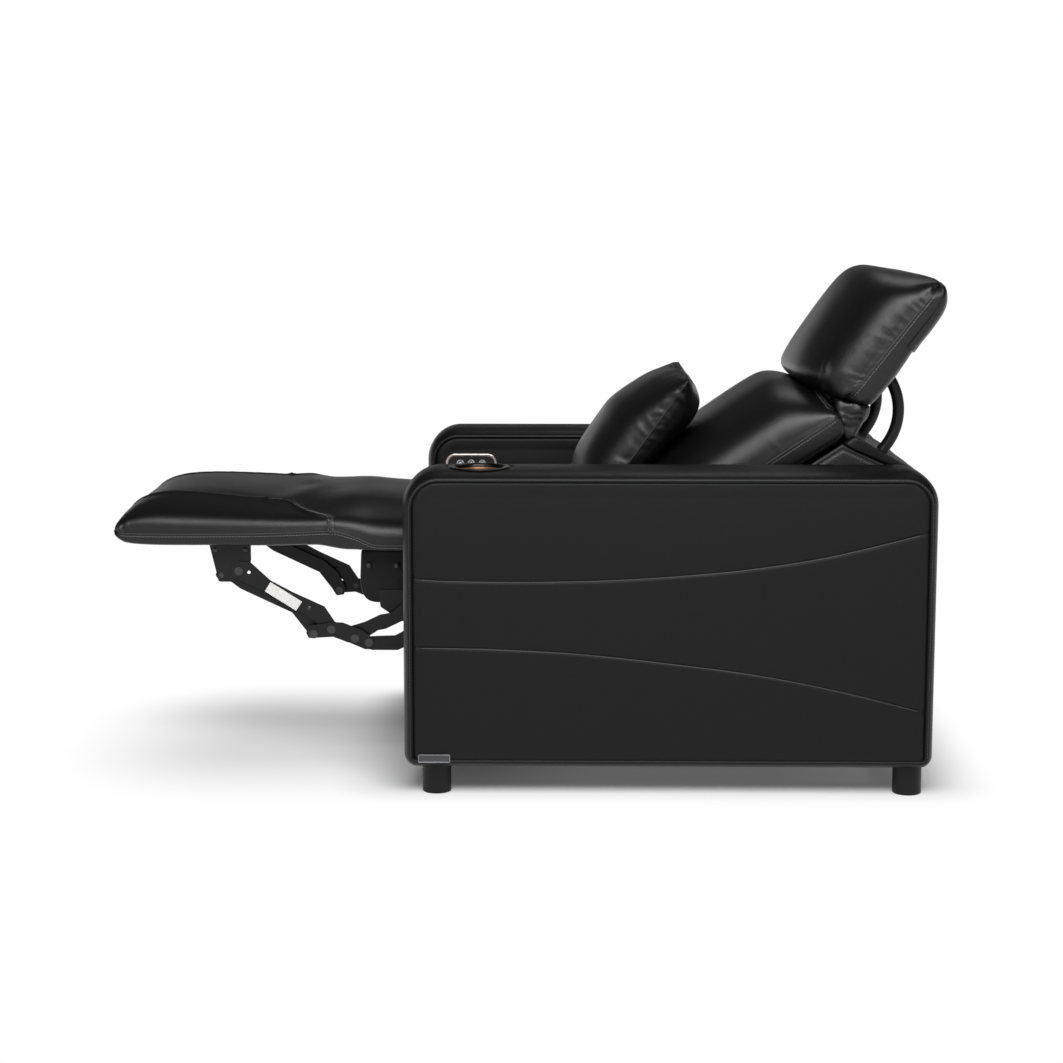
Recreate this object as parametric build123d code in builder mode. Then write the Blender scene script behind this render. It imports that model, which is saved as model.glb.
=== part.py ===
from build123d import *
import math
import os

os.makedirs("parts", exist_ok=True)

# One powered recliner seat with the back laid down and the footrest out.
# The origin is on the floor under the middle of the seat at rest.
# +X runs to the back of the seat, +Y to the sitter's right, +Z up. Millimetres.

# Arms
seat_opening = 580.0
arm_width = 170.0
arm_length = 967.0
arm_front_x = -227.0
arm_top_z = 600.0
arm_front_radius = 68.0
arm_rear_radius = 62.0
arm_bottom_radius = 26.0
band_depth = 18.0
band_roll = 16.0
panel_depth = 22.0
panel_roll = 7.0
seam_gap = 1.0
arm_rail = 44.0
groove_width = 3.0
groove_depth = 2.0

# Feet, badge plate, cup holder and control panel
foot_height = 53.0
foot_diameter = 53.0
foot_front_inset = 59.5
foot_rear_inset = 42.0
badge_length = 58.0
badge_height = 14.6
badge_thickness = 1.6
badge_front_inset = 29.0
badge_rise = 15.0
cup_bore_radius = 43.0
cup_wall = 1.5
cup_depth = 66.0
cup_flange_radius = 56.0
cup_flange = 3.0
cup_front_inset = 139.0
control_length = 109.0
control_height = 40.0
control_front_inset = 95.0
control_drop = 72.0
bezel_width = 6.0
bezel_proud = 3.5
button_radius = 7.3
button_pitch = 23.5
button_travel = 1.5
button_gap = 0.4

# Base rails and glide channels
base_rail_width = 40.0
base_rail_height = 40.0
base_rail_lift = 7.0
base_rail_wall = 2.0
base_front_inset = 60.0
base_rear_inset = 30.0
channel_depth = 32.0
channel_height = 44.0
channel_wall = 3.0
channel_slot = 22.0
channel_z = 216.0
channel_start_x = -180.0
channel_length = 650.0
shoe_length = 60.0
shoe_gap = 1.0
shoe_stud_radius = 6.0
shoe_xs = (-100.0, 250.0)

# Carriage
side_plate_near = 250.0
side_plate_thickness = 4.0
side_plate_top_z = 420.0
side_plate_bottom_z = 190.0
recline_x = 372.0
recline_z = 430.0
recline_tube_radius = 14.0
running_gap = 0.05
front_block_x = -322.0
front_block_depth = 87.0
front_block_bottom_z = 317.0
front_block_top_z = 425.0
front_block_half_width = 222.0
front_rail_depth = 40.0
rail_height = 22.0
mid_rail_x = 85.0
mid_rail_depth = 30.0
cross_tube_x = 300.0
cross_tube_z = 230.0
cross_tube_radius = 15.0
spring_count = 5
spring_pitch_y = 88.0
spring_wire = 4.0
spring_swing = 24.0
spring_loops = 7
spring_hook = 12.0

# Footrest fold and its linkage
fold_x = -384.0
fold_z = 483.0
knee_x = -551.0
knee_z = 383.0
toe_pin_x = -34.0
toe_pin_z = -9.0
elbow_x = -376.0
elbow_z = 272.0
brace_pin_x = -335.0
brace_pin_z = 258.0
drive_tube_radius = 12.5
pin_radius = 5.0
rivet_head_radius = 8.0
link_thickness = 3.0
slim_link_near = 231.5
bracket_near = 236.5
wide_link_near = 240.5
riser_near = 241.5
riser_thickness = 4.0
tab_near = 245.5
hanger_near = 222.0
hanger_thickness = 4.0
label_length = 70.0
label_width = 21.0
label_thickness = 0.4

# Footrest pad
pad_half_width = 281.0
pad_tip_x = -782.0
pad_tip_z = 469.0
pad_rear_x = -387.0
pad_crown_z = 528.0
pad_seam_z = 466.0
board_bottom_z = 435.0
board_thickness = 12.0
board_half_width = 250.0

# Seat cushion
seat_half_width = 285.0
seat_bottom_z = 425.0
seat_side_z = 478.0
seat_crown_z = 508.0
seat_nose_z = 517.0
seat_nose_x = -381.0
seat_rear_x = 138.0

# Back
back_angle = 33.4
back_top = 313.0
back_bottom = -125.0
back_rear = 51.5
back_crown = 212.0
back_side_front = 100.0
back_half_width = 280.0
back_rail_near = 225.0
back_rail_width = 20.0
back_rail_depth = 40.0
back_rail_length = 320.0
wing_near = 257.0
wing_thickness = 15.0
wing_front = 50.5
wing_top = 287.0
wing_crest = 364.5
cap_thickness = 18.0
panel_rear = -74.0
panel_thickness = 17.0
panel_bottom = -60.0
panel_foot = -22.0

# Headrest
neck_along = 323.0
neck_out = 89.0
headrest_angle = 52.1
headrest_half_width = 280.0
headrest_top = 304.0
headrest_crown = 137.0
headrest_rear = -25.0
headrest_side_front = 30.0
neck_clear = 28.0
bow_radius = 111.0
bow_wire_radius = 11.0
bow_spacing = 300.0
bow_top_angle = 37.0
bow_end_angle = -77.0
bow_gap = 2.0
neck_rod_radius = 4.0
neck_ear_near = 100.0
neck_ear_thickness = 4.0

# Lumbar pillow
pillow_half_width = 225.0
pillow_foot_x = 130.0
pillow_foot_z = 506.0
pillow_height = 298.0
pillow_corner = 10.0
pillow_angle = 54.8
pillow_front = 86.0
pillow_rear = 62.0

arm_height = arm_top_z - foot_height
arm_inner_y = seat_opening / 2
arm_outer_y = arm_inner_y + arm_width
arm_rear_x = arm_front_x + arm_length
sides = (("left", -1), ("right", 1))


def side_view(y):
    """A sketch plane for side views: local x is +X, local y is +Z."""
    return Plane.XZ.offset(-y)


def back_view(y):
    """Local x runs up the back from the recline hinge, local y out of its front."""
    lean = math.radians(back_angle)
    return Plane((recline_x, y, recline_z), (math.cos(lean), 0, math.sin(lean)), (0, -1, 0))


neck = back_view(0).from_local_coords((neck_along, neck_out, 0))


def headrest_view(y):
    """Local x runs up the headrest from its hinge, local y out of its front."""
    lean = math.radians(headrest_angle)
    return Plane((neck.X, y, neck.Z), (math.cos(lean), 0, math.sin(lean)), (0, -1, 0))


def arm_outline(inset):
    """The arm's rounded side view, drawn in by inset all round."""
    middle = (arm_front_x + arm_length / 2, foot_height + arm_height / 2)
    with BuildSketch() as outline:
        with Locations(middle):
            Rectangle(arm_length - 2 * inset, arm_height - 2 * inset)
        bottom = outline.vertices().group_by(Axis.Y)[0]
        fillet(bottom, max(arm_bottom_radius - inset, 4.0))
        top = outline.vertices().group_by(Axis.Y)[-1].sort_by(Axis.X)
        fillet(top[0], arm_front_radius - inset)
        top = outline.vertices().group_by(Axis.Y)[-1].sort_by(Axis.X)
        fillet(top[-1], arm_rear_radius - inset)
    return outline.sketch


def plate(sign, near, thickness, outline, holes=(), corner=5.0):
    """A flat plate in a side view, with rounded corners and round holes."""
    with BuildPart() as blank:
        with BuildSketch(side_view(sign * near)):
            Polygon(*outline, align=None)
            fillet(vertices(), corner)
            for hole_x, hole_z, radius in holes:
                with Locations((hole_x, hole_z)):
                    Circle(radius, mode=Mode.SUBTRACT)
        extrude(amount=-sign * thickness)
    return blank.part


def both_sides(near, thickness, outline, holes=(), corner=5.0):
    """The same flat plate on the left and on the right."""
    with BuildPart() as pair:
        for sign in (-1, 1):
            add(plate(sign, near, thickness, outline, holes, corner))
    return pair.part


def pin(x, z, start, length, radius, head_at, head=0.0, head_thickness=1.0):
    """A pin along Y from start, with a round head at head_at when head is given."""
    direction = 1 if length > 0 else -1
    with BuildPart() as rivet:
        with BuildSketch(side_view(start)):
            with Locations((x, z)):
                Circle(radius)
        extrude(amount=-length)
        if head:
            with BuildSketch(side_view(head_at)):
                with Locations((x, z)):
                    Circle(head)
            extrude(amount=-direction * head_thickness)
    return rivet.part


# ---------------------------------------------------------------- arms
control_x = arm_front_x + control_front_inset
control_z = arm_top_z - control_drop
cup_x = arm_front_x + cup_front_inset
cup_y = -(arm_inner_y + arm_width / 2)
housing_depth = 26.0
housing_start = arm_inner_y + 7.0

for side, sign in sides:
    inner_y = sign * arm_inner_y
    outer_y = sign * arm_outer_y
    with BuildPart() as band:
        with BuildSketch(side_view(inner_y)):
            add(arm_outline(0))
            add(arm_outline(band_depth), mode=Mode.SUBTRACT)
        extrude(amount=-sign * arm_width)
        rims = [face.outer_wire().edges() for face in faces().filter_by(Axis.Y)]
        fillet([edge for rim in rims for edge in rim], band_roll)
        if side == "left":
            with Locations((cup_x, cup_y, arm_top_z)):
                Cylinder(cup_bore_radius + cup_wall, 2 * band_depth + 2, mode=Mode.SUBTRACT)
                Cylinder(cup_flange_radius, 2 * cup_flange, mode=Mode.SUBTRACT)
    band.part.label = f"arm_band_{side}"
    export_step(band.part, f"parts/{band.part.label}.step")

    with BuildPart() as frame:
        with BuildSketch(side_view(inner_y + sign * panel_depth)):
            add(arm_outline(band_depth))
            window_height = arm_height - 2 * (band_depth + arm_rail)
            window_length = arm_length - 2 * (band_depth + 2 * arm_rail)
            with Locations((arm_front_x + arm_length / 2, foot_height + arm_height / 2)):
                Rectangle(window_length, window_height, mode=Mode.SUBTRACT)
        extrude(amount=-sign * (arm_width - 2 * panel_depth))
        if side == "left":
            with Locations((cup_x, cup_y, arm_top_z)):
                Cylinder(cup_bore_radius + cup_wall + 1, 2 * (cup_depth + 8), mode=Mode.SUBTRACT)
        else:
            with Locations((control_x, arm_inner_y + panel_depth, control_z)):
                Box(control_length, 2 * housing_depth, control_height, mode=Mode.SUBTRACT)
    frame.part.label = f"arm_frame_{side}"
    export_step(frame.part, f"parts/{frame.part.label}.step")

    with BuildPart() as outer_panel:
        with BuildSketch(side_view(outer_y - sign * panel_depth)):
            add(arm_outline(band_depth + seam_gap))
        extrude(amount=-sign * panel_depth)
        fillet(faces().sort_by(Axis.Y)[0 if sign < 0 else -1].edges(), panel_roll)
        seam_front = arm_front_x + band_depth
        seam_rear = arm_rear_x - band_depth
        seam_length = seam_rear - seam_front
        with BuildSketch(side_view(outer_y - sign * groove_depth)):
            with BuildLine():
                dip = (seam_front + 0.396 * seam_length, arm_top_z - 195)
                ThreePointArc((seam_front, arm_top_z - 193), (seam_front + 0.202 * seam_length, arm_top_z - 199), dip)
                ThreePointArc(dip, (seam_front + 0.697 * seam_length, arm_top_z - 170), (seam_rear, arm_top_z - 108))
            trace(line_width=groove_width)
            with BuildLine():
                turn = (seam_front + 0.318 * seam_length, foot_height + 217)
                ThreePointArc((seam_front, foot_height + 226), (seam_front + 0.16 * seam_length, foot_height + 224.5), turn)
                ThreePointArc(turn, (seam_front + 0.666 * seam_length, foot_height + 179), (seam_rear, foot_height + 110))
            trace(line_width=groove_width)
        extrude(amount=-sign * groove_depth, mode=Mode.SUBTRACT)
    outer_panel.part.label = f"arm_outer_panel_{side}"
    export_step(outer_panel.part, f"parts/{outer_panel.part.label}.step")

    with BuildPart() as inner_panel:
        with BuildSketch(side_view(inner_y)):
            add(arm_outline(band_depth + seam_gap))
        extrude(amount=-sign * panel_depth)
        fillet(faces().sort_by(Axis.Y)[-1 if sign < 0 else 0].edges(), panel_roll)
        if side == "right":
            with BuildSketch(side_view(arm_inner_y)):
                with Locations((control_x, control_z)):
                    SlotOverall(control_length, control_height)
            extrude(amount=-panel_depth, mode=Mode.SUBTRACT)
    inner_panel.part.label = f"arm_inner_panel_{side}"
    export_step(inner_panel.part, f"parts/{inner_panel.part.label}.step")

with BuildPart() as feet:
    foot_y = arm_inner_y + arm_width - 60
    foot_xs = (arm_front_x + foot_front_inset, arm_rear_x - foot_rear_inset)
    with Locations([(x, y, foot_height / 2) for x in foot_xs for y in (-foot_y, foot_y)]):
        Cylinder(foot_diameter / 2, foot_height)
    chamfer(faces().group_by(Axis.Z)[0].edges(), 1.5)
feet.part.label = "feet"
export_step(feet.part, "parts/feet.step")

with BuildPart() as badge:
    badge_x = arm_front_x + badge_front_inset + badge_length / 2
    badge_z = foot_height + badge_rise + badge_height / 2
    with BuildSketch(side_view(-arm_outer_y)):
        with Locations((badge_x, badge_z)):
            RectangleRounded(badge_length, badge_height, 2)
    extrude(amount=badge_thickness)
    chamfer(faces().sort_by(Axis.Y)[0].edges(), 0.5)
badge.part.label = "badge_plate"
export_step(badge.part, "parts/badge_plate.step")

with BuildPart() as cup:
    with BuildSketch(Plane.XY.offset(arm_top_z - cup_flange)):
        with Locations((cup_x, cup_y)):
            Circle(cup_flange_radius)
    extrude(amount=cup_flange)
    with BuildSketch(Plane.XY.offset(arm_top_z - cup_depth - cup_wall)):
        with Locations((cup_x, cup_y)):
            Circle(cup_bore_radius + cup_wall)
    extrude(amount=cup_depth)
    with Locations((cup_x, cup_y, arm_top_z - cup_depth / 2)):
        Cylinder(cup_bore_radius, cup_depth, mode=Mode.SUBTRACT)
cup.part.label = "cup_holder"
export_step(cup.part, "parts/cup_holder.step")

# ---------------------------------------------------------------- control panel
with BuildPart() as bezel:
    with BuildSketch(side_view(arm_inner_y - bezel_proud)):
        with Locations((control_x, control_z)):
            SlotOverall(control_length, control_height)
            SlotOverall(control_length - 2 * bezel_width, control_height - 2 * bezel_width, mode=Mode.SUBTRACT)
    extrude(amount=-(bezel_proud + 7))
    fillet(faces().sort_by(Axis.Y)[0].edges(), 1.5)
bezel.part.label = "control_bezel"
export_step(bezel.part, "parts/control_bezel.step")

button_xs = [control_x + (n - 1) * button_pitch for n in range(3)]
with BuildPart() as control_face:
    with BuildSketch(side_view(arm_inner_y - bezel_proud + 2)):
        with Locations((control_x, control_z)):
            SlotOverall(control_length - 2 * bezel_width, control_height - 2 * bezel_width)
        with Locations([(x, control_z) for x in button_xs]):
            Circle(button_radius + button_gap, mode=Mode.SUBTRACT)
    extrude(amount=-4)
control_face.part.label = "control_face"
export_step(control_face.part, "parts/control_face.step")

button_names = ("button_footrest", "button_recline", "button_headrest")
for name, button_x in zip(button_names, button_xs):
    with BuildPart() as button:
        with BuildSketch(side_view(arm_inner_y - bezel_proud - 0.5)):
            with Locations((button_x, control_z)):
                Circle(button_radius)
        extrude(amount=-7)
        with BuildSketch(side_view(arm_inner_y - bezel_proud - 0.5)):
            with Locations(Location((button_x, control_z), 45)):
                RectangleRounded(1.35 * button_radius, 1.35 * button_radius, 1.5)
        extrude(amount=2.2, taper=38)
    button.part.label = name
    export_step(button.part, f"parts/{name}.step")

with BuildPart() as housing:
    with BuildSketch(side_view(housing_start)):
        with Locations((control_x, control_z)):
            SlotOverall(control_length - 2 * bezel_width, control_height - 2 * bezel_width)
    extrude(amount=-housing_depth)
housing.part.label = "switch_housing"
export_step(housing.part, "parts/switch_housing.step")

# ---------------------------------------------------------------- base
rail_z = foot_height + base_rail_lift + base_rail_height / 2
rail_xs = (
    arm_front_x + base_front_inset + base_rail_width / 2,
    arm_rear_x - base_rear_inset - base_rail_width / 2,
)
with BuildPart() as base_rails:
    for rail_x in rail_xs:
        with BuildSketch(side_view(-arm_inner_y)):
            with Locations((rail_x, rail_z)):
                RectangleRounded(base_rail_width, base_rail_height, 4)
                inner = (base_rail_width - 2 * base_rail_wall, base_rail_height - 2 * base_rail_wall)
                Rectangle(*inner, mode=Mode.SUBTRACT)
        extrude(amount=-seat_opening)
base_rails.part.label = "base_rails"
export_step(base_rails.part, "parts/base_rails.step")

with BuildPart() as channels:
    for side, sign in sides:
        back_y = sign * (arm_inner_y - channel_depth / 2)
        with BuildSketch(Plane.YZ.offset(channel_start_x)):
            with Locations((back_y, channel_z)):
                Rectangle(channel_depth, channel_height)
                Rectangle(channel_depth - 2 * channel_wall, channel_height - 2 * channel_wall, mode=Mode.SUBTRACT)
            with Locations((back_y - sign * channel_depth / 2, channel_z)):
                Rectangle(2 * channel_wall + 1, channel_slot, mode=Mode.SUBTRACT)
        extrude(amount=channel_length)
channels.part.label = "glide_channels"
export_step(channels.part, "parts/glide_channels.step")

# ---------------------------------------------------------------- carriage
side_plate_far = side_plate_near + side_plate_thickness
drive_x = elbow_x - (knee_x - fold_x)
drive_z = elbow_z - (knee_z - fold_z)
brace_root_x = brace_pin_x - (knee_x - fold_x)
brace_root_z = brace_pin_z - (knee_z - fold_z)

with BuildPart() as shoes:
    shoe_width = channel_depth - 2 * channel_wall - 2 * shoe_gap
    shoe_height = channel_height - 2 * channel_wall - 2 * shoe_gap
    for sign in (-1, 1):
        shoe_y = sign * (arm_inner_y - channel_depth / 2)
        with Locations([(x, shoe_y, channel_z) for x in shoe_xs]):
            Box(shoe_length, shoe_width, shoe_height)
        for shoe_x in shoe_xs:
            with BuildSketch(side_view(sign * side_plate_far)):
                with Locations((shoe_x, channel_z)):
                    Circle(shoe_stud_radius)
            extrude(amount=-sign * (arm_inner_y - channel_depth / 2 - side_plate_far))
shoes.part.label = "glide_shoes"
export_step(shoes.part, "parts/glide_shoes.step")

rail_bottom_z = side_plate_top_z - rail_height
plate_front_x = arm_front_x + 3
with BuildPart() as side_plates:
    for sign in (-1, 1):
        with BuildSketch(side_view(sign * side_plate_near)):
            Polygon(
                (plate_front_x, side_plate_top_z),
                (mid_rail_x + mid_rail_depth + 3, side_plate_top_z),
                (seat_rear_x + 2, recline_z - 130),
                (recline_x - 88, recline_z - 130),
                (recline_x - 34, recline_z - 10),
                (recline_x + 24, recline_z - 22),
                (recline_x - 20, recline_z - 132),
                (recline_x, side_plate_bottom_z),
                (plate_front_x + 80, side_plate_bottom_z),
                (plate_front_x, drive_z - 35),
                align=None,
            )
            fillet(vertices(), 8)
            with Locations((recline_x, recline_z)):
                Circle(2.1 * recline_tube_radius)
                Circle(recline_tube_radius + running_gap, mode=Mode.SUBTRACT)
            with Locations((drive_x, drive_z)):
                Circle(drive_tube_radius + running_gap, mode=Mode.SUBTRACT)
        extrude(amount=-sign * side_plate_thickness)
side_plates.part.label = "side_plates"
export_step(side_plates.part, "parts/side_plates.step")

hanger_plates = both_sides(
    hanger_near,
    hanger_thickness,
    [
        (-288, front_block_bottom_z + 28),
        (-284, front_block_bottom_z - 5),
        (-243, 284),
        (-160, 300),
        (-128, 335),
        (-130, rail_bottom_z),
        (-232, rail_bottom_z),
        (-232, front_block_bottom_z + 28),
    ],
    [(drive_x, drive_z, drive_tube_radius + 2)],
)
hanger_plates.label = "hanger_plates"
export_step(hanger_plates, "parts/hanger_plates.step")

with BuildPart() as front_block:
    block_middle_x = front_block_x + front_block_depth / 2
    block_middle_z = (front_block_bottom_z + front_block_top_z) / 2
    with BuildSketch(side_view(-front_block_half_width)):
        with Locations((block_middle_x, block_middle_z)):
            Rectangle(front_block_depth, front_block_top_z - front_block_bottom_z)
        corners = vertices().group_by(Axis.X)[0].sort_by(Axis.Y)
        fillet(corners[0], 25)
        fillet(corners[-1], 8)
    extrude(amount=-2 * front_block_half_width)
    ends = faces().filter_by(Axis.Y)
    fillet([edge for face in ends for edge in face.edges()], 5)
front_block.part.label = "front_block"
export_step(front_block.part, "parts/front_block.step")

cross_rails = {
    "seat_front_rail": (front_block_x + front_block_depth, front_rail_depth),
    "seat_mid_rail": (mid_rail_x, mid_rail_depth),
}
for name, (rail_x, depth) in cross_rails.items():
    with BuildPart() as cross_rail:
        with BuildSketch(side_view(-side_plate_near)):
            with Locations((rail_x + depth / 2, rail_bottom_z + rail_height / 2)):
                RectangleRounded(depth, rail_height, 3)
                Rectangle(depth - 5, rail_height - 5, mode=Mode.SUBTRACT)
        extrude(amount=-2 * side_plate_near)
    cross_rail.part.label = name
    export_step(cross_rail.part, f"parts/{name}.step")

cross_tube = pin(cross_tube_x, cross_tube_z, -side_plate_near, 2 * side_plate_near, cross_tube_radius, 0)
cross_tube.label = "carriage_cross_tube"
export_step(cross_tube, "parts/carriage_cross_tube.step")

with BuildPart() as springs:
    spring_start = front_block_x + front_block_depth + front_rail_depth - spring_hook
    spring_step = (mid_rail_x + spring_hook - spring_start) / spring_loops
    for n in range(spring_count):
        spring_y = (n - (spring_count - 1) / 2) * spring_pitch_y
        with BuildSketch(Plane.XY.offset(side_plate_top_z)):
            with BuildLine():
                for loop in range(spring_loops):
                    loop_x = spring_start + loop * spring_step
                    swing = spring_swing if loop % 2 else -spring_swing
                    ThreePointArc(
                        (loop_x, spring_y),
                        (loop_x + spring_step / 2, spring_y + swing),
                        (loop_x + spring_step, spring_y),
                    )
            trace(line_width=spring_wire)
        extrude(amount=spring_wire)
springs.part.label = "seat_springs"
export_step(springs.part, "parts/seat_springs.step")

# Stations across a cushion: share of the half width, share of the crown, how far the ends draw in
stations = ((-1.0, 0.0, 9.0), (-0.93, 0.5, 3.0), (-0.62, 0.86, 0.0), (0.0, 1.0, 0.0))
stations = stations + tuple((-share, crown, draw) for share, crown, draw in reversed(stations[:-1]))

with BuildPart() as seat_cushion:
    for share, crown, draw in stations:
        top = seat_side_z + crown * (seat_crown_z - seat_side_z)
        nose_top = fold_z + 10 + crown * (seat_nose_z - fold_z - 10)
        with BuildSketch(side_view(share * (seat_half_width - 1))):
            with BuildLine():
                floor = Line((front_block_x - 8, seat_bottom_z), (seat_rear_x - 22 - draw, seat_bottom_z))
                heel = (seat_rear_x - 14 - draw, top - 14)
                ThreePointArc(floor @ 1, (seat_rear_x - draw, (seat_bottom_z + top) / 2), heel)
                brow = (seat_nose_x + 46 + draw, nose_top)
                ThreePointArc(heel, (-60, top - 2), brow)
                lip = (seat_nose_x + draw, fold_z + 6 + 12 * crown)
                ThreePointArc(brow, (seat_nose_x + 11 + draw, nose_top - 6 * crown - 1), lip)
                Polyline(
                    lip,
                    (seat_nose_x + draw, fold_z + 3),
                    (fold_x + 42, fold_z + 3),
                    (front_block_x - 8, fold_z - 13),
                    floor @ 0,
                )
            make_face()
    loft()
seat_cushion.part.label = "seat_cushion"
export_step(seat_cushion.part, "parts/seat_cushion.step")

# ---------------------------------------------------------------- footrest
toe_x = knee_x + toe_pin_x
toe_z = knee_z + toe_pin_z
wrist_x = elbow_x + toe_pin_x
wrist_z = elbow_z + toe_pin_z

with BuildPart() as board:
    board_front_x = pad_tip_x + 42
    with Locations(((board_front_x + pad_rear_x - 6) / 2, 0, board_bottom_z + board_thickness / 2)):
        Box(pad_rear_x - 6 - board_front_x, 2 * board_half_width, board_thickness)
    fillet(edges().filter_by(Axis.Z), 20)
board.part.label = "footrest_board"
export_step(board.part, "parts/footrest_board.step")

with BuildPart() as pad:
    pad_floor_z = board_bottom_z + board_thickness
    for share, crown, draw in stations:
        top = pad_seam_z + crown * (pad_crown_z - pad_seam_z)
        with BuildSketch(side_view(share * pad_half_width)):
            with BuildLine():
                floor = Line((pad_tip_x + 26 + draw, pad_floor_z), (pad_rear_x - draw, pad_floor_z))
                back = Line(floor @ 1, (pad_rear_x - draw, top - 6))
                shoulder = (pad_tip_x + 110, top)
                ThreePointArc(back @ 1, (pad_rear_x - 150, top - 9 * crown - 1), shoulder)
                tip = (pad_tip_x + draw * 0.4, pad_tip_z - 3 + 6 * crown)
                ThreePointArc(shoulder, (pad_tip_x + 42, pad_tip_z + 0.66 * (top - pad_tip_z)), tip)
                Line(tip, floor @ 0)
            make_face()
    loft()
pad.part.label = "footrest_pad"
export_step(pad.part, "parts/footrest_pad.step")

pin_hole = pin_radius + running_gap
with BuildPart() as brackets:
    for sign in (-1, 1):
        with BuildSketch(side_view(sign * bracket_near)):
            Polygon(
                (knee_x - 56, board_bottom_z),
                (knee_x - 39, knee_z - 21),
                (knee_x - 6, knee_z - 21),
                (knee_x + 18, knee_z),
                (knee_x + 23, knee_z + 21),
                (knee_x + 23, board_bottom_z),
                align=None,
            )
            fillet(vertices().group_by(Axis.Y)[0], 5)
            with Locations((knee_x, knee_z), (toe_x, toe_z)):
                Circle(pin_radius, mode=Mode.SUBTRACT)
        extrude(amount=-sign * link_thickness)
        with BuildSketch(side_view(sign * (bracket_near - 25))):
            with Locations((knee_x - 16.5, board_bottom_z - link_thickness / 2)):
                Rectangle(79, link_thickness)
        extrude(amount=-sign * 26)
brackets.part.label = "footrest_brackets"
export_step(brackets.part, "parts/footrest_brackets.step")

wide_links = both_sides(
    wide_link_near,
    link_thickness,
    [
        (knee_x - 17, knee_z + 3),
        (knee_x - 2, knee_z + 19),
        (knee_x + 21, knee_z + 18),
        (knee_x + 60, knee_z - 18),
        (knee_x + 101, knee_z - 40),
        (elbow_x - 13, elbow_z + 43),
        (elbow_x + 6, elbow_z + 14),
        (brace_pin_x + 9, brace_pin_z + 8),
        (brace_pin_x + 8, brace_pin_z - 10),
        (brace_pin_x - 10, brace_pin_z - 12),
        (elbow_x - 8, elbow_z - 11),
        (elbow_x - 27, elbow_z + 12),
        (elbow_x - 65, elbow_z + 37),
        (knee_x + 47, knee_z - 37),
        (knee_x - 10, knee_z - 12),
    ],
    [
        (knee_x, knee_z, pin_hole),
        (elbow_x, elbow_z, pin_hole),
        (brace_pin_x, brace_pin_z, pin_radius),
        (knee_x + 19, knee_z - 2, 3.5),
        (elbow_x - 42, elbow_z + 40, 3.5),
    ],
    4,
)
wide_links.label = "wide_links"
export_step(wide_links, "parts/wide_links.step")

slim_links = both_sides(
    slim_link_near,
    link_thickness,
    [
        (toe_x - 13, toe_z + 2),
        (toe_x - 5, toe_z - 11),
        (toe_x + 18, toe_z - 13),
        (toe_x + 35, toe_z - 26),
        (toe_x + 133, toe_z - 72),
        (wrist_x - 16, wrist_z + 5),
        (wrist_x - 6, wrist_z - 11),
        (wrist_x + 10, wrist_z - 9),
        (wrist_x + 12, wrist_z + 7),
        (wrist_x - 2, wrist_z + 37),
        (wrist_x - 30, wrist_z + 62),
        (toe_x + 40, toe_z),
        (toe_x + 5, toe_z + 14),
    ],
    [(toe_x, toe_z, pin_hole), (wrist_x, wrist_z, pin_hole)],
    4,
)
slim_links.label = "slim_links"
export_step(slim_links, "parts/slim_links.step")

brace_links = both_sides(
    bracket_near,
    link_thickness,
    [
        (brace_pin_x - 14, brace_pin_z + 4),
        (brace_pin_x - 4, brace_pin_z + 19),
        (brace_pin_x + 22, brace_pin_z + 27),
        (brace_pin_x + 51, brace_pin_z + 41),
        (brace_pin_x + 73, brace_pin_z + 45),
        (brace_root_x - 12, brace_root_z + 14),
        (brace_root_x + 10, brace_root_z + 14),
        (brace_root_x + 15, brace_root_z - 8),
        (brace_root_x - 72, brace_root_z - 70),
        (brace_pin_x + 62, brace_pin_z + 14),
        (brace_pin_x + 47, brace_pin_z + 11),
        (brace_pin_x + 30, brace_pin_z),
        (brace_pin_x + 2, brace_pin_z - 13),
    ],
    [(brace_pin_x, brace_pin_z, pin_hole), (brace_root_x, brace_root_z, pin_hole)],
    3,
)
brace_links.label = "brace_links"
export_step(brace_links, "parts/brace_links.step")

risers = both_sides(
    riser_near,
    riser_thickness,
    [
        (elbow_x + 58, elbow_z - 26),
        (elbow_x + 70, elbow_z - 14),
        (elbow_x + 121, elbow_z - 12),
        (elbow_x + 136, elbow_z - 4),
        (drive_x - 15, drive_z - 72),
        (drive_x - 16, drive_z + 4),
        (drive_x - 8, drive_z + 16),
        (drive_x + 9, drive_z + 16),
        (drive_x + 17, drive_z + 4),
        (drive_x + 13, drive_z - 72),
        (elbow_x + 154, elbow_z - 27),
        (elbow_x + 126, elbow_z - 40),
        (elbow_x + 76, elbow_z - 40),
    ],
    [(drive_x, drive_z, drive_tube_radius)],
    4,
)
tabs = both_sides(
    tab_near,
    link_thickness,
    [
        (wrist_x - 14, wrist_z + 2),
        (wrist_x - 10, wrist_z + 16),
        (elbow_x - 16, elbow_z + 11),
        (elbow_x + 3, elbow_z + 14),
        (elbow_x + 22, elbow_z + 13),
        (elbow_x + 58, elbow_z - 1),
        (elbow_x + 77, elbow_z - 15),
        (elbow_x + 83, elbow_z - 26),
        (elbow_x + 76, elbow_z - 38),
        (elbow_x + 64, elbow_z - 38),
        (elbow_x + 26, elbow_z - 22),
        (elbow_x + 7, elbow_z - 14),
        (wrist_x - 9, wrist_z - 8),
    ],
    [(elbow_x, elbow_z, pin_radius), (wrist_x, wrist_z, pin_radius)],
    4,
)
with BuildPart() as drive_links:
    add(risers)
    add(tabs)
drive_links.part.label = "drive_links"
export_step(drive_links.part, "parts/drive_links.step")

drive_tube = pin(drive_x, drive_z, -side_plate_far - 1, 2 * side_plate_far + 2, drive_tube_radius, 0)
drive_tube.label = "footrest_drive_tube"
export_step(drive_tube, "parts/footrest_drive_tube.step")

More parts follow.
